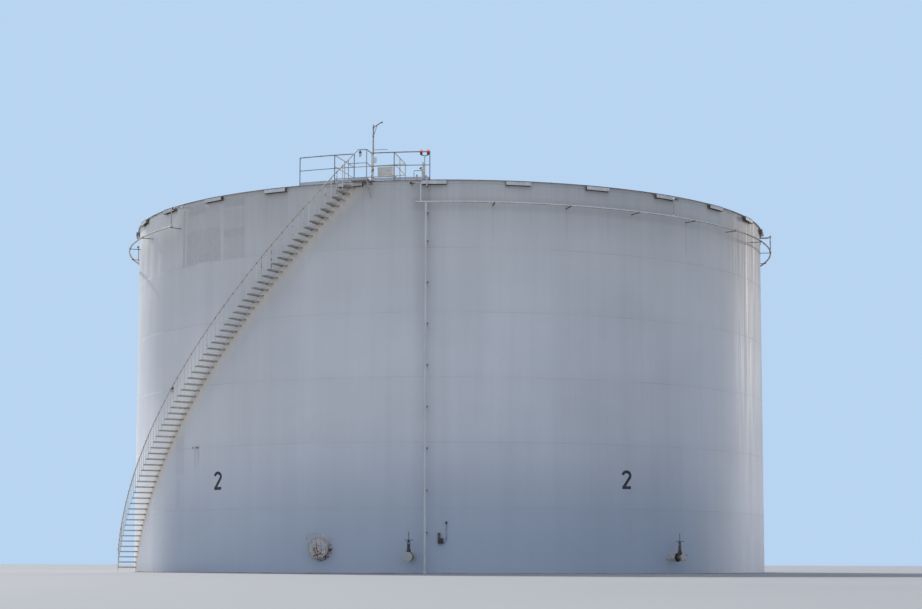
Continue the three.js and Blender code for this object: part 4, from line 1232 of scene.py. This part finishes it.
def clipped(start, end, outline):
    """The part of a level line inside a convex outline, or None."""
    low, high = 0.0, 1.0
    run = end - start
    for corner, following in edges(outline):
        side = (following - corner).cross(UP)
        depth, slope = (start - corner).dot(side), run.dot(side)
        if abs(slope) < 1e-9:
            if depth > 0:
                return None
        elif slope > 0:
            high = min(high, -depth / slope)
        else:
            low = max(low, -depth / slope)
    return (start.lerp(end, low), start.lerp(end, high)) if low < high else None


def add_platform():
    """A grating inside a frame, on three bearers."""
    shape = Shape(GALVANISED)
    under, height = DECK_TOP - 0.035, 0.034
    outline = deck_outline(under + height / 2)
    middle = sum(outline, Vector()) / len(outline)
    for corner, following in edges(outline):
        run = (following - corner).normalized()
        inward = UP.cross(run)
        sizes = ((following - corner).length, 0.006, height)
        shape.brick((corner + following) / 2 + inward * 0.004, (run, inward, UP), sizes)
    azimuth = -13.7
    out, across = outward(azimuth), along(azimuth)
    for way, aside, pitch, size, tall in ((out, across, 0.04, 0.004, 0.03), (across, out, 0.1, 0.006, 0.008)):
        for step in range(-40, 41):
            place = middle + aside * pitch * step
            ends = clipped(place - way * 2.5, place + way * 2.5, outline)
            if ends:
                first, last = ends
                centre = (first + last) / 2 + UP * (height - tall) / 2
                shape.brick(centre, (way, aside, UP), ((last - first).length, size, tall))
    left, right = PLATFORM_SIDES
    for share in (0, 0.5, 1):
        rear = polar(left[1], left[2], 0).lerp(polar(right[1], right[2], 0), share)
        front = polar(13.58, left[0] + (right[0] - left[0]) * share, 0)
        add_bearer(shape, rear, front, under)
    shape.dress("roof_platform", "grey_steel")


def add_bearer(shape, rear, front, top):
    """A beam with a web, an upper flange and a foot along the roof's slope."""
    aside = UP.cross((front - rear).normalized())
    feet = [(place, roof_height(place.length) - 0.004) for place in (rear, front)]

    def plate(wide, bottoms, tops):
        rings = []
        for (place, _), low, high in zip(feet, bottoms, tops):
            left, right = place + aside * wide / 2, place - aside * wide / 2
            rings.append([left + UP * low, right + UP * low, right + UP * high, left + UP * high])
        shape.rings(rings)

    lows = [foot for _, foot in feet]
    plate(0.006, lows, (top, top))
    plate(0.056, (top - 0.006, top - 0.006), (top, top))
    plate(0.056, lows, [foot + 0.01 for foot in lows])


def add_platform_rail():
    shape = Shape(CREAM_PAINT)
    outer = RIM_POST_RADIUS - 0.042
    left, right = PLATFORM_SIDES
    ends = ((outer, left[0]), left[1:], right[1:], (outer, right[0]))
    for height, size in ((GUARD_TOP, TOP_RAIL), (REAR_MIDDLE, MIDDLE_RAIL)):
        corners = [polar(radius, azimuth, height) for radius, azimuth in ends]
        shape.tube(round_corner(corners, 0.07), size, 12)
    for front, radius, azimuth in PLATFORM_SIDES:
        corner = polar(radius, azimuth, 0)
        halfway = corner.lerp(polar(outer, front, 0), 0.5)
        for place in (corner, halfway):
            add_guard_post(shape, place, DECK_TOP, GUARD_TOP)
            for level, size in ((GUARD_TOP - 0.02, 0.024), (REAR_MIDDLE, 0.0225)):
                shape.tube([place + UP * (level - 0.02), place + UP * (level + 0.02)], size, 14)
    shape.dress("platform_rail", "rail_paint")


def add_instrument_box():
    """A ribbed box that hangs on the rear rail."""
    shape = Shape(BOX_PAINT)
    wide, deep, tall, base = 0.595, 0.18, 0.34, 15.39
    rail_reach, place_on_rail = 0.0139 + 0.0003, 0.635
    left, right = (polar(radius, azimuth, 0) for _, radius, azimuth in PLATFORM_SIDES)
    across = (right - left).normalized()
    out = across.cross(UP)
    front = left.lerp(right, place_on_rail) + out * (rail_reach + deep / 2) + UP * (base + tall / 2)
    axes = (across, out, UP)
    shape.brick(front, axes, (wide - 0.012, deep - 0.012, tall - 0.012))
    for level in (-1, 1):
        shape.brick(front + UP * level * (tall / 2 - 0.012), axes, (wide, deep, 0.024))
    for side in (-1, 1):
        shape.brick(front + across * side * (wide / 2 - 0.01), axes, (0.02, deep, tall - 0.02))
    for share in spread(-0.5, 0.5, 13)[1:-1]:
        rib = front + across * share * (wide - 0.02) + out * (deep / 2 - 0.006)
        shape.brick(rib, axes, (0.016, 0.012, tall - 0.04))
    for side in (-0.3, 0.3):
        hanger = front + across * side * wide - out * (deep / 2 - 0.004) + UP * 0.1
        shape.brick(hanger, axes, (0.03, 0.008, 0.12), CAST_IRON)
        shape.bolt(front + across * side * wide + out * deep / 2 + UP * (tall / 2 - 0.012), out, 0.008)
    shape.dress("instrument_box", "grey_steel")


def add_mast():
    shape = Shape(MAST_PAINT)
    azimuth, radius = -12.25, RIM_POST_RADIUS - 0.019 - 0.032
    size, top, strut, stay = 0.0275, 16.94, 16.48, 15.97
    arm_low, arm_rise, arm_turn = 16.825, 0.22, 1.45
    base = roof_height(radius)

    def at(turn, height):
        return polar(radius, azimuth + turn, height)

    shape.tube([at(0, base), at(0, GUARD_TOP)], size, 14, PALE_POST)
    shape.tube([at(0, GUARD_TOP), at(0, 16.3), at(0, top)], [size, size, 0.026], 14)
    shape.lathe([(0, 0), (0.075, 0), (0.075, 0.01), (0.035, 0.014), (0, 0.014)], at(0, base), 20)
    shape.bolts(at(0, base + 0.01), (30, 90, 150, 210, 270, 330), 0.056, 0, 0.009)
    for height in (15.2, GUARD_TOP, strut, 16.82):
        shape.collar(radius, azimuth, height, 0.03, 0.0335, 14, RUSTY_EDGE)
    shape.tube([at(0, arm_low), at(0.2, 16.86), at(arm_turn, 17.043)], 0.0195, 12, RUSTY_EDGE)
    shape.drum(0.026, -0.02, 0.02, at(1.43, 17.015), 14, RUSTY_EDGE, outward(azimuth))
    brace_share = 0.43
    shape.tube([at(0, strut), at(arm_turn * brace_share, arm_low + arm_rise * brace_share)], 0.0118, 10)
    shape.tube([at(0, stay), at(2.33, stay)], 0.0088, 8, CAST_IRON)
    add_winch(shape, at(0.31, 15.57), axes_at(azimuth + 0.31))
    shape.dress("davit_mast", "rail_paint")


def add_winch(shape, centre, axes):
    """A drum between two cheeks under a cover, with its crank."""
    across, out, _ = axes
    for side in (-1, 1):
        shape.brick(centre + across * side * 0.048, axes, (0.006, 0.085, 0.22), WHITE_PAINT)
    drum = [(0, -0.045), (0.034, -0.045), (0.034, -0.04), (0.026, -0.036), (0.026, 0.036), (0.034, 0.04),
            (0.034, 0.045), (0, 0.045)]
    shape.lathe(drum, centre + UP * 0.04, 18, WHITE_PAINT, across)
    shape.brick(centre - UP * 0.06, axes, (0.1, 0.07, 0.05), WHITE_PAINT)
    outline = ((-0.05, 0.11), (0.02, 0.115), (0.055, 0.06), (0.055, -0.02), (-0.01, -0.11), (-0.05, -0.115))
    cover = [centre + across * side + UP * level - out * 0.03 for side, level in outline]
    shape.prism(cover, out * 0.06, WHITE_PAINT)
    shape.tube([centre + across * 0.05, centre + across * 0.054 + UP * 0.1], 0.007, 8, WHITE_PAINT)
    shape.tube([centre - UP * 0.08, centre - UP * 0.112], 0.012, 8, WHITE_PAINT)


def add_obstruction_light():
    shape = Shape(RED_GLASS)
    radius, azimuth, lamps, part, fork = 13.64, -4, 15.82, 0.55, 15.705
    box, box_top = -4.2, 15.46
    low = roof_height(radius)
    place = polar(radius, azimuth, 0)
    shape.tube([place + UP * low, place + UP * (fork + 0.012)], 0.0215, 14, LIGHT_GREY)
    shape.block(0.083, 0.068, box_top - low, radius, box, (box_top + low) / 2, CREAM_BOX_PAINTED_LIGHT)
    shape.block(0.085, 0.07, 0.02, radius, box, box_top - 0.011, CREAM_BOX_PAINTED_LIGHT)
    for height in spread(low + 0.12, box_top - 0.1, 5):
        shape.bolt(polar(radius + 0.034, box, height), outward(box), 0.007)
    for side in (-part, part):
        root, crotch = place + UP * (fork - 0.02), place + UP * fork
        elbow = polar(radius, azimuth + side * 0.75, fork + 0.02)
        end = polar(radius, azimuth + side, lamps - 0.08)
        shape.tube([root, crotch, elbow, end], 0.0155, 10, DARK_IRON)
        add_red_lamp(shape, polar(radius, azimuth + side, lamps))
    shape.dress("obstruction_light", "red_glass")


def add_red_lamp(shape, centre):
    """A ribbed jar of red glass on its base."""
    base = [(0, -0.085), (0.037, -0.085), (0.042, -0.075), (0.046, -0.05), (0.047, -0.03), (0, -0.03)]
    shape.lathe(base, centre, 24, LAMP_BASE)
    glass = [(0, -0.03), (0.044, -0.03)]
    for rib in range(9):
        height = -0.024 + 0.0155 * rib
        swell = 0.048 + 0.012 * sin(pi * min(1, max(0, (height + 0.03) / 0.15)))
        glass += [(swell, height), (swell - 0.004, height + 0.0075)]
    shape.lathe([*glass, (0.05, 0.112), (0.03, 0.121), (0, 0.1245)], centre, 28)
    shape.hoop(centre - UP * 0.032, UP, 0.045, 0.0035, 28, DARK_IRON)


def add_jar_lamp(name, azimuth, height):
    """A ribbed jar below a cap, in a cage of four wires and a hoop."""
    shape = Shape(JAR_GLASS)
    top = polar(POST_RADIUS, azimuth, height)
    jar = [(0, -0.258), (0.04, -0.258), (0.045, -0.25)]
    for rib in range(8):
        level = -0.245 + 0.0155 * rib
        jar += [(0.0465 + 0.001 * rib, level), (0.0445 + 0.001 * rib, level + 0.008)]
    shape.lathe([*jar, (0.053, -0.122), (0, -0.122)], top, 24)
    cap = [(0, -0.124), (0.0545, -0.124), (0.0545, -0.062), (0.03, -0.045), (0.0138, -0.043), (0.0138, 0),
           (0, 0)]
    shape.lathe(cap, top, 24, CAST_IRON)
    for angle in compass(4):
        way = outward(angle)
        wire = [top + way * 0.053 - UP * 0.12, top + way * 0.05 - UP * 0.19, top + way * 0.042 - UP * 0.259]
        shape.tube(wire, 0.0014, 6, CAST_IRON)
    shape.hoop(top - UP * 0.19, UP, 0.049, 0.0014, 24, CAST_IRON)
    shape.dress(name, "clear_glass")


def add_lamps():
    """Both hang from the flat under side of a rail, as in the CAD; the stair's rail slopes."""
    stair = tread_front(LAMP_TREAD) + TREAD_ANGLE / 2
    climb = RISE / radians(TREAD_ANGLE) / POST_RADIUS
    flat = HANDRAIL_RADIUS * 0.8660
    drop = flat * hypot(1, climb) + 0.014 * climb
    add_jar_lamp("stair_lamp", stair, handrail_height(stair) - drop + 0.004)
    add_jar_lamp("landing_lamp", LAMP_AZIMUTH, GUARD_TOP - flat + 0.003)


def add_bracket(shape, azimuth):
    """A flat bar from the shell with a clip over the pipe."""
    outer, inner = RING_RADIUS + RING_PIPE + 0.012, RADIUS - 0.02
    level = RING_HEIGHT - RING_PIPE - 0.005
    shape.block(0.048, outer - inner, 0.02, (outer + inner) / 2, azimuth, level - 0.005, DARK_BROWN)
    out, across = outward(azimuth), along(azimuth)
    centre = polar(RING_LINE, azimuth, RING_HEIGHT)
    clip = []
    for angle in spread(radians(-30), radians(210), 12):
        clip.append(centre + (out * cos(angle) + UP * sin(angle)) * (RING_PIPE + 0.003))
    shape.tube([clip[0] - UP * 0.02, *clip, clip[-1] - UP * 0.02], 0.005, 6, DARK_BROWN)
    for side in (-1, 1):
        shape.bolt(centre + out * side * (RING_PIPE + 0.001) - UP * 0.032, -UP, 0.009, DARK_BROWN)
    for side in (-1, 1):
        low = polar(RADIUS - 0.002, azimuth, level - 0.006) + across * side * 0.018
        shape.tube([low, low + UP * 0.012], 0.005, 5, DARK_BROWN)


def add_maker(shape, azimuth, run):
    """A foam maker: branch from the ring, ball valve, run with its fittings, and chamber at the shell."""
    turn = turned(azimuth, run, RING_RADIUS)
    to_left = run < 0
    way = -1 if to_left else 1
    top = polar(RING_LINE, azimuth, MAKER_HEIGHT)
    after = polar(RING_LINE, azimuth + way * degrees(0.12 / RING_RADIUS), MAKER_HEIGHT)
    end = polar(RING_RADIUS - 0.12, turn, MAKER_HEIGHT)
    branch = round_corner([polar(RING_LINE, azimuth, RING_HEIGHT), top, after, end], 0.045, 4)
    shape.tube(branch[:2], 0.0235, 12, WHITE_PAINT if to_left else DARK_PIPE)
    shape.tube(branch[1:], 0.0235, 12, RAIL_PAINT if to_left else WHITE_PAINT)
    ball = polar(RING_LINE, turn, MAKER_HEIGHT) if to_left else after
    valve = [(0, -0.05), (0.028, -0.047), (0.043, -0.022), (0.046, 0), (0.043, 0.022), (0.028, 0.047),
             (0, 0.05)]
    shape.lathe(valve, ball, 18, DARK_BROWN)
    shape.lathe([(0, 0.035), (0.03, 0.035), (0.03, 0.06), (0, 0.066)], ball, 12, WHITE_PAINT)
    if to_left:
        shape.tube([polar(RING_LINE, turn + 0.3, MAKER_HEIGHT), ball], 0.02, 10, RUSTY_EDGE)
    shape.collar(RING_LINE, azimuth, RING_HEIGHT + 0.05, 0.03, 0.031, 12, WHITE_PAINT)
    couplings = ((0.35, 0.031, RUSTY_EDGE), (0.6, 0.029, DARK_BROWN), (0.8, 0.032, RUSTY_EDGE))
    for share, size, finish in couplings:
        shape.tube([after.lerp(end, share - 0.05), after.lerp(end, share + 0.05)], size, 12, finish)
    out = outward(turn)
    chamber = [(0, 0), (0.024, 0), (0.034, 0.02), (0.034, 0.36), (0, 0.36)]
    shape.lathe(chamber, end + out * 0.01, 18, SHELL_PAINT, -out)
    shape.drum(0.044, 0, 0.012, end - out * 0.06, 18, RUSTY_EDGE, -out)
    pad = [(0, 0), (0.06, 0), (0.06, 0.01), (0, 0.012)]
    shape.lathe(pad, polar(RADIUS + 0.003, turn, MAKER_HEIGHT), 20, SHELL_PAINT, -out)


def add_ring():
    bracket = 0
    start = RING_START
    for index, count in enumerate(RING_BRACKETS):
        last = index == len(RING_BRACKETS) - 1
        end = RING_END if last else FIRST_BRACKET + (bracket + count - 0.5) * BRACKET_PITCH
        shape = Shape(RING_PAINT)
        pipe = level_run(RING_LINE, RING_HEIGHT, start, end, round((end - start) / 0.6))
        shape.tube(pipe, RING_PIPE - 0.001, 14)
        for i in range(count):
            add_bracket(shape, FIRST_BRACKET + (bracket + i) * BRACKET_PITCH)
        joint = start + 9
        while joint < end - 3:
            shape.tube(level_run(RING_LINE, RING_HEIGHT, joint - 0.2, joint + 0.2, 2), RING_PIPE + 0.005, 14)
            joint += 2 * BRACKET_PITCH
        for azimuth, run in FOAM_MAKERS:
            if start < azimuth < end:
                add_maker(shape, azimuth, run)
        if index == 0:
            end_cap = level_run(RING_LINE, RING_HEIGHT, RING_START, RING_START + 0.12, 1)
            shape.tube(end_cap, RING_PIPE + 0.002, 14)
        shape.dress(f"foam_ring_{index + 1}", "pipe_paint")
        bracket += count
        start = end


def add_riser():
    shape = Shape(RISER_PAINT)
    top = RING_HEIGHT - RING_PIPE
    shape.tube([polar(RING_RADIUS, RISER_AZIMUTH, z) for z in (0.002, 4.6, 9.2, top)], 0.0442, 18)
    foot = polar(RING_RADIUS, RISER_AZIMUTH, 0)
    flange = [(0, 0), (0.0945, 0), (0.0945, 0.02), (0.09, 0.0235), (0.052, 0.0235), (0.0442, 0.06), (0, 0.06)]
    shape.lathe(flange, foot, 32)
    shape.bolts(foot, compass(8), 0.076, 0.0235, 0.009)
    for height in (3.9, 7.9, 11.9):
        shape.collar(RING_RADIUS, RISER_AZIMUTH, height, 0.05, 0.049, 18)
    shape.collar(RING_RADIUS, RISER_AZIMUTH, top - 0.06, 0.06, 0.05, 18)
    for height in RISER_CLIPS:
        add_riser_clip(shape, height)
    add_conduit(shape)
    shape.dress("foam_riser", "pipe_paint")


def add_riser_clip(shape, height):
    """A bracket from the shell with a clip round the pipe and a box beside it."""
    axes = across, out, _ = axes_at(RISER_AZIMUTH)
    inner, outer = RADIUS - 0.02, RING_RADIUS - 0.02
    shape.block(0.058, outer - inner, 0.01, (inner + outer) / 2, RISER_AZIMUTH, height, DARK_BROWN)
    shape.block(0.07, 0.01, 0.07, RADIUS + 0.001, RISER_AZIMUTH, height, SHELL_PAINT)
    centre = polar(RING_RADIUS, RISER_AZIMUTH, height + 0.01)
    shape.hoop(centre, UP, 0.048, 0.006, 24)
    shape.brick(centre + across * 0.074 - out * 0.01, axes, (0.05, 0.05, 0.062), MESH_BROWN)
    for side in (-1, 1):
        strap = [centre + across * side * 0.048, centre + across * side * 0.05 - out * 0.06]
        shape.tube(strap, 0.006, 6, MESH_BROWN)
        shape.bolt(centre + across * side * 0.05 + out * 0.02, across * side, 0.009, DARK_BROWN)


def add_conduit(shape):
    """A thin conduit that goes on above the ring and over the rim to the light's box."""
    azimuth = -3.57
    bend = polar(RADIUS + 0.19, azimuth, 14.45)
    foot = polar(RING_RADIUS - 0.03, azimuth, RING_HEIGHT + 0.05)
    lower = [foot, polar(RING_RADIUS - 0.05, azimuth, 14.1), bend]
    upper = [bend, polar(RADIUS + 0.185, azimuth, 14.9), polar(13.66, -3.9, 14.93)]
    shape.tube(round_corner(lower, 0.06, 4), 0.0165, 12, SHELL_PAINT)
    shape.tube(round_corner(upper, 0.06, 4), 0.0175, 12)
    elbow = [(0, -0.04), (0.03, -0.04), (0.034, 0), (0.03, 0.04), (0, 0.04)]
    shape.lathe(elbow, bend + along(RISER_AZIMUTH) * 0.012, 16, MESH_BROWN)
    shape.hoop(polar(RADIUS + 0.187, azimuth, 14.6), UP, 0.0185, 0.004, 16, DARK_BROWN)


def add_roof_pipes():
    """Small pipes that stand on the roof by the light: a loop and a stub."""
    shape = Shape(TOP_RAIL_PAINT)
    radius, left, stub, right, top = 13.4, -5.83, -5.36, -4.506, 15.19
    low = roof_height(radius) - 0.01
    corners = ((left, low), (left, top), (right, top), (right, low))
    loop = [polar(radius, azimuth, height) for azimuth, height in corners]
    shape.tube(round_corner(loop, 0.035), 0.0125, 10)
    shape.tube([polar(radius, stub, low), polar(radius, stub, 15.036)], 0.033, 16, STUB_GREY)
    for azimuth in (left, right, stub):
        shape.drum(0.05, 0, 0.008, polar(radius, azimuth, low + 0.008))
    shape.make("roof_pipes", "pipe_paint")


def add_gauge_tube():
    """A leaning tube with a cap, by the light."""
    shape = Shape(CREAM_PAINT)
    radius, azimuth = 13.712, -3.6
    foot, head = polar(radius, azimuth, 14.775), polar(radius, azimuth - 1, 15.21)
    shape.tube([foot, head], 0.034, 18)
    cap = [(0, -0.01), (0.046, -0.01), (0.046, 0.03), (0.02, 0.045), (0, 0.045)]
    shape.lathe(cap, head, 20, DARK_BROWN, (head - foot).normalized())
    shape.drum(0.06, 0, 0.012, polar(radius, azimuth, roof_height(radius) - 0.002), 20)
    shape.make("roof_gauge_tube", "pipe_paint")


def add_shell_fittings():
    """Two small boxes, and a small terminal with its conduit, low on the shell."""
    shape = Shape(CAST_IRON)
    for turn, wide, deep, low, high in ((-1.52, 0.09, 0.09, 1.1, 1.5), (-1.2, 0.16, 0.12, 1.1, 1.3)):
        middle = RADIUS - 0.012 + deep / 2
        shape.block(wide, deep, high - low, middle, turn, (low + high) / 2)
        shape.block(wide + 0.012, deep + 0.006, 0.012, middle, turn, high - 0.004)
    radius, azimuth = RADIUS + 0.03, -0.4
    head = polar(radius, azimuth, 1.88)
    terminal = [(0, -0.045), (0.03, -0.045), (0.034, -0.02), (0.034, 0.03), (0.02, 0.045), (0, 0.045)]
    shape.lathe(terminal, head, 18, DARK_BROWN)
    shape.tube([head, polar(radius, azimuth, 1.2), polar(radius, azimuth - 0.5, 1.14)], 0.011, 10, GALVANISED)
    for height in (1.3, 1.62):
        shape.hoop(polar(radius, azimuth, height), UP, 0.013, 0.004, 16, DARK_BROWN)
        shape.block(0.05, 0.04, 0.012, RADIUS + 0.012, azimuth, height, DARK_BROWN)
    shape.make("shell_fittings", "pipe_paint")


def add_manway():
    shape = Shape(FITTING_PAINT)
    azimuth, height, neck, flange, reach = -20.6, 0.95, 0.305, 0.415, 0.23
    axes = across, out, _ = axes_at(azimuth)
    face = RADIUS + reach
    centre = UP * height
    shape.drum(neck - 0.002, 0, reach, centre + out * (RADIUS - 0.04), 48, axis=out)
    pad = [(0, 0), (neck + 0.2, 0), (neck + 0.2, 0.006), (neck + 0.19, 0.01), (0, 0.01)]
    shape.lathe(pad, centre + out * (RADIUS - 0.006), 48, axis=out)
    for start, thick in ((face - 0.05, 0.022), (face - 0.026, 0.0245)):
        plate = [(0, 0), (flange - 0.003, 0), (flange - 0.001, 0.003), (flange - 0.001, thick - 0.003),
                 (flange - 0.003, thick), (0, thick)]
        shape.lathe(plate, centre + out * start, 64, axis=out)
    for angle in circle(28):
        way = (across * cos(angle) + UP * sin(angle)) * 0.37
        shape.bolt(centre + way + out * (face - 0.0015), out, 0.015)
        shape.bolt(centre + way + out * (face - 0.05), -out, 0.015)
    for side in (-1, 1):
        place = centre + across * side * 0.16 + out * (face - 0.004)
        low, high = place - UP * 0.07, place + UP * 0.07
        handle = [low, low + out * 0.05, high + out * 0.05, high]
        shape.tube(round_corner(handle, 0.02, 3), 0.008, 8, BOLT_STEEL)
    # The davit that swings the cover
    eye = centre + UP * (flange + 0.02) + out * (face - 0.035)
    arm = [eye - across * 0.47 - UP * 0.25, eye - across * 0.47 + UP * 0.1, eye + UP * 0.1, eye]
    shape.tube(round_corner(arm, 0.08, 4), 0.014, 10)
    shape.brick(centre - across * 0.455 + UP * 0.12 + out * (face - 0.06), axes, (0.07, 0.05, 0.1))
    shape.dress("shell_manway", "pipe_paint")


def add_flange(shape, centre, axis, radius, thickness, bolts, finish):
    """A plate with bolts through it."""
    rim = min(0.004, thickness / 4)
    plate = [(0, 0), (radius - rim, 0), (radius, rim), (radius, thickness - rim), (radius - rim, thickness),
             (0, thickness)]
    shape.lathe(plate, centre, 32, finish, axis)
    side = axis.cross(UP if abs(axis.z) < 0.9 else Vector((0, 1, 0))).normalized()
    other = axis.cross(side)
    for angle in circle(bolts):
        way = (side * cos(angle) + other * sin(angle)) * radius * 0.82
        shape.bolt(centre + way + axis * thickness, axis, radius * 0.055 + 0.003)
        shape.bolt(centre + way, -axis, radius * 0.055 + 0.003)


def add_outlet(name, azimuth):
    """A pipe from the shell with a gate valve and a blank flange."""
    shape = Shape(FITTING_PAINT)
    out = outward(azimuth)
    pipe, flange, thick, reach, body, level = 0.109, 0.171, 0.0295, 0.7, 0.45, 0.62
    centre = UP * level
    shape.drum(pipe, 0, 0.73, centre + out * (RADIUS - 0.03), 32, axis=out)
    shape.lathe([(0, 0), (0.24, 0), (0.24, 0.008), (0, 0.01)], centre + out * (RADIUS - 0.006), 48, axis=out)
    face, valve = RADIUS + reach, RADIUS + body
    inner = valve - 0.095 - 0.06
    add_flange(shape, centre + out * inner, out, flange, thick, 12, FITTING_PAINT)
    add_flange(shape, centre + out * (inner + 0.031), out, flange, 0.0285, 12, CAST_IRON)
    add_flange(shape, centre + out * (face - 0.0605), out, flange, thick, 12, CAST_IRON)
    blank = [(0, 0), (flange, 0), (flange, thick), (0.12, 0.03), (0.1, 0.03), (0, 0.028)]
    shape.lathe(blank, centre + out * (face - 0.03), 48, axis=out)
    add_gate_valve(shape, centre + out * valve, azimuth)
    shape.dress(name, "dark_steel")


def add_gate_valve(shape, middle, azimuth):
    """Body, bonnet, yoke, stem and handwheel."""
    axes = across, out, _ = axes_at(azimuth)
    body = [(0, -0.095), (0.11, -0.095), (0.118, -0.05), (0.12, 0), (0.118, 0.05), (0.11, 0.095), (0, 0.095)]
    shape.lathe(body, middle, 32, CAST_IRON, out)
    shape.brick(middle + UP * 0.06, axes, (0.17, 0.13, 0.17), CAST_IRON)
    add_flange(shape, middle + UP * 0.14, UP, 0.11, 0.02, 8, CAST_IRON)
    bonnet = [(0, 0.16), (0.095, 0.16), (0.07, 0.24), (0.055, 0.34), (0.055, 0.42), (0.06, 0.43),
              (0.06, 0.45), (0, 0.45)]
    shape.lathe(bonnet, middle, 24, CAST_IRON)
    for side in (-1, 1):
        yoke = [middle + across * side * 0.045 + UP * 0.42, middle + across * side * 0.05 + UP * 0.55]
        shape.tube(yoke, 0.012, 8, CAST_IRON)
    shape.lathe([(0, 0.545), (0.06, 0.545), (0.06, 0.562), (0.03, 0.59), (0, 0.59)], middle, 24, CAST_IRON)
    shape.tube([middle + UP * 0.3, middle + UP * 0.918], 0.0145, 14, BOLT_STEEL)
    hub = middle + UP * 0.612
    shape.hoop(hub, UP, 0.157, 0.012, 40, CAST_IRON)
    shape.drum(0.035, -0.012, 0.013, hub, 16, CAST_IRON)
    for angle in compass(5):
        shape.tube([hub, hub + outward(angle) * 0.155], 0.008, 8, CAST_IRON)


def add_camera():
    camera = bpy.data.cameras.new("camera")
    camera.sensor_width = SENSOR
    camera.lens = FOCAL_PIXELS / PHOTO_WIDTH * SENSOR
    camera.shift_y = CAMERA_SHIFT
    camera.clip_end = 400
    level = Vector((-sin(CAMERA_YAW), cos(CAMERA_YAW), 0))
    forward = level * cos(CAMERA_PITCH) + UP * sin(CAMERA_PITCH)
    right = forward.cross(UP).normalized()
    up = right.cross(forward)
    turned_right = right * cos(CAMERA_ROLL) + up * sin(CAMERA_ROLL)
    turned_up = up * cos(CAMERA_ROLL) - right * sin(CAMERA_ROLL)
    holder = bpy.data.objects.new("camera", camera)
    holder.matrix_world = Matrix((turned_right, turned_up, -forward)).transposed().to_4x4()
    holder.location = CAMERA_PLACE
    bpy.context.scene.collection.objects.link(holder)
    bpy.context.scene.camera = holder


def add_floor():
    bpy.ops.mesh.primitive_plane_add(size=1200, location=(0, 0, -0.004))
    floor = bpy.context.object
    floor.name = "floor"
    g = Graph("floor_paint")
    tone = g.noise(0.05, 0.05).ramp(0.3, 0.7)
    colour = g.mix(tone, (0.355, 0.36, 0.37), (0.385, 0.39, 0.40))
    g.finish(colour, roughness=tone.ramp(0.0, 1.0, 0.8, 0.9))
    floor.data.materials.append(g.material)


def add_sun(name, azimuth, elevation, strength, colour, soft):
    lamp = bpy.data.lights.new(name, "SUN")
    lamp.energy = strength
    lamp.color = colour
    lamp.angle = soft
    holder = bpy.data.objects.new(name, lamp)
    towards = outward(azimuth) * cos(radians(elevation)) + UP * sin(radians(elevation))
    holder.rotation_euler = towards.to_track_quat("Z", "Y").to_euler()
    bpy.context.scene.collection.objects.link(holder)


def add_sky():
    """Blue to the north, bright behind the camera and grey elsewhere."""
    world = bpy.data.worlds.new("world")
    world.use_nodes = True
    nodes, links = world.node_tree.nodes, world.node_tree.links
    split = nodes.new("ShaderNodeSeparateXYZ")
    links.new(nodes.new("ShaderNodeTexCoord").outputs["Generated"], split.inputs[0])

    def blend(axis, low, high, first, last):
        share = nodes.new("ShaderNodeMapRange")
        links.new(split.outputs[axis], share.inputs["Value"])
        share.inputs["From Min"].default_value = low
        share.inputs["From Max"].default_value = high
        mix = nodes.new("ShaderNodeMix")
        mix.data_type = "RGBA"
        links.new(share.outputs["Result"], mix.inputs["Factor"])
        for socket, colour in ((mix.inputs["A"], first), (mix.inputs["B"], last)):
            if isinstance(colour, tuple):
                socket.default_value = (*colour, 1)
            else:
                links.new(colour, socket)
        return mix.outputs["Result"]

    front = blend("X", -1.0, 1.0, (0.56, 0.64, 0.80), (0.46, 0.545, 0.705))
    rear = blend("X", -1.0, 1.0, (0.38, 0.42, 0.50), (0.26, 0.31, 0.41))
    sky = blend("Y", 0.72, 0.92, blend("Y", -1.0, 0.3, front, rear), (0.48, 0.66, 0.88))
    background = nodes["Background"].inputs
    links.new(sky, background["Color"])
    background["Strength"].default_value = 1.0
    bpy.context.scene.world = world


random.seed(4)
bpy.context.scene.view_settings.view_transform = "Standard"
add_bottom()
add_shell()
add_rim()
add_roof()
add_centre_vent()
add_stair()
add_handrails()
add_landing()
add_landing_rail()
add_rim_guards()
add_platform()
add_platform_rail()
add_instrument_box()
add_mast()
add_obstruction_light()
add_lamps()
add_ring()
add_riser()
add_manway()
add_outlet("outlet_valve_1", -6)
add_outlet("outlet_valve_2", 38.7)
add_roof_pipes()
add_shell_fittings()
add_gauge_tube()
add_floor()
add_sky()
add_sun("sun", -149, 40, 3.3, (1.0, 0.965, 0.92), 0.02)
add_sun("second_sun", 137, 8, 0.24, (1.0, 0.87, 0.74), 0.1)
add_sun("fill", -40, 45, 0.12, (1.0, 0.98, 0.95), 1.2)
add_camera()
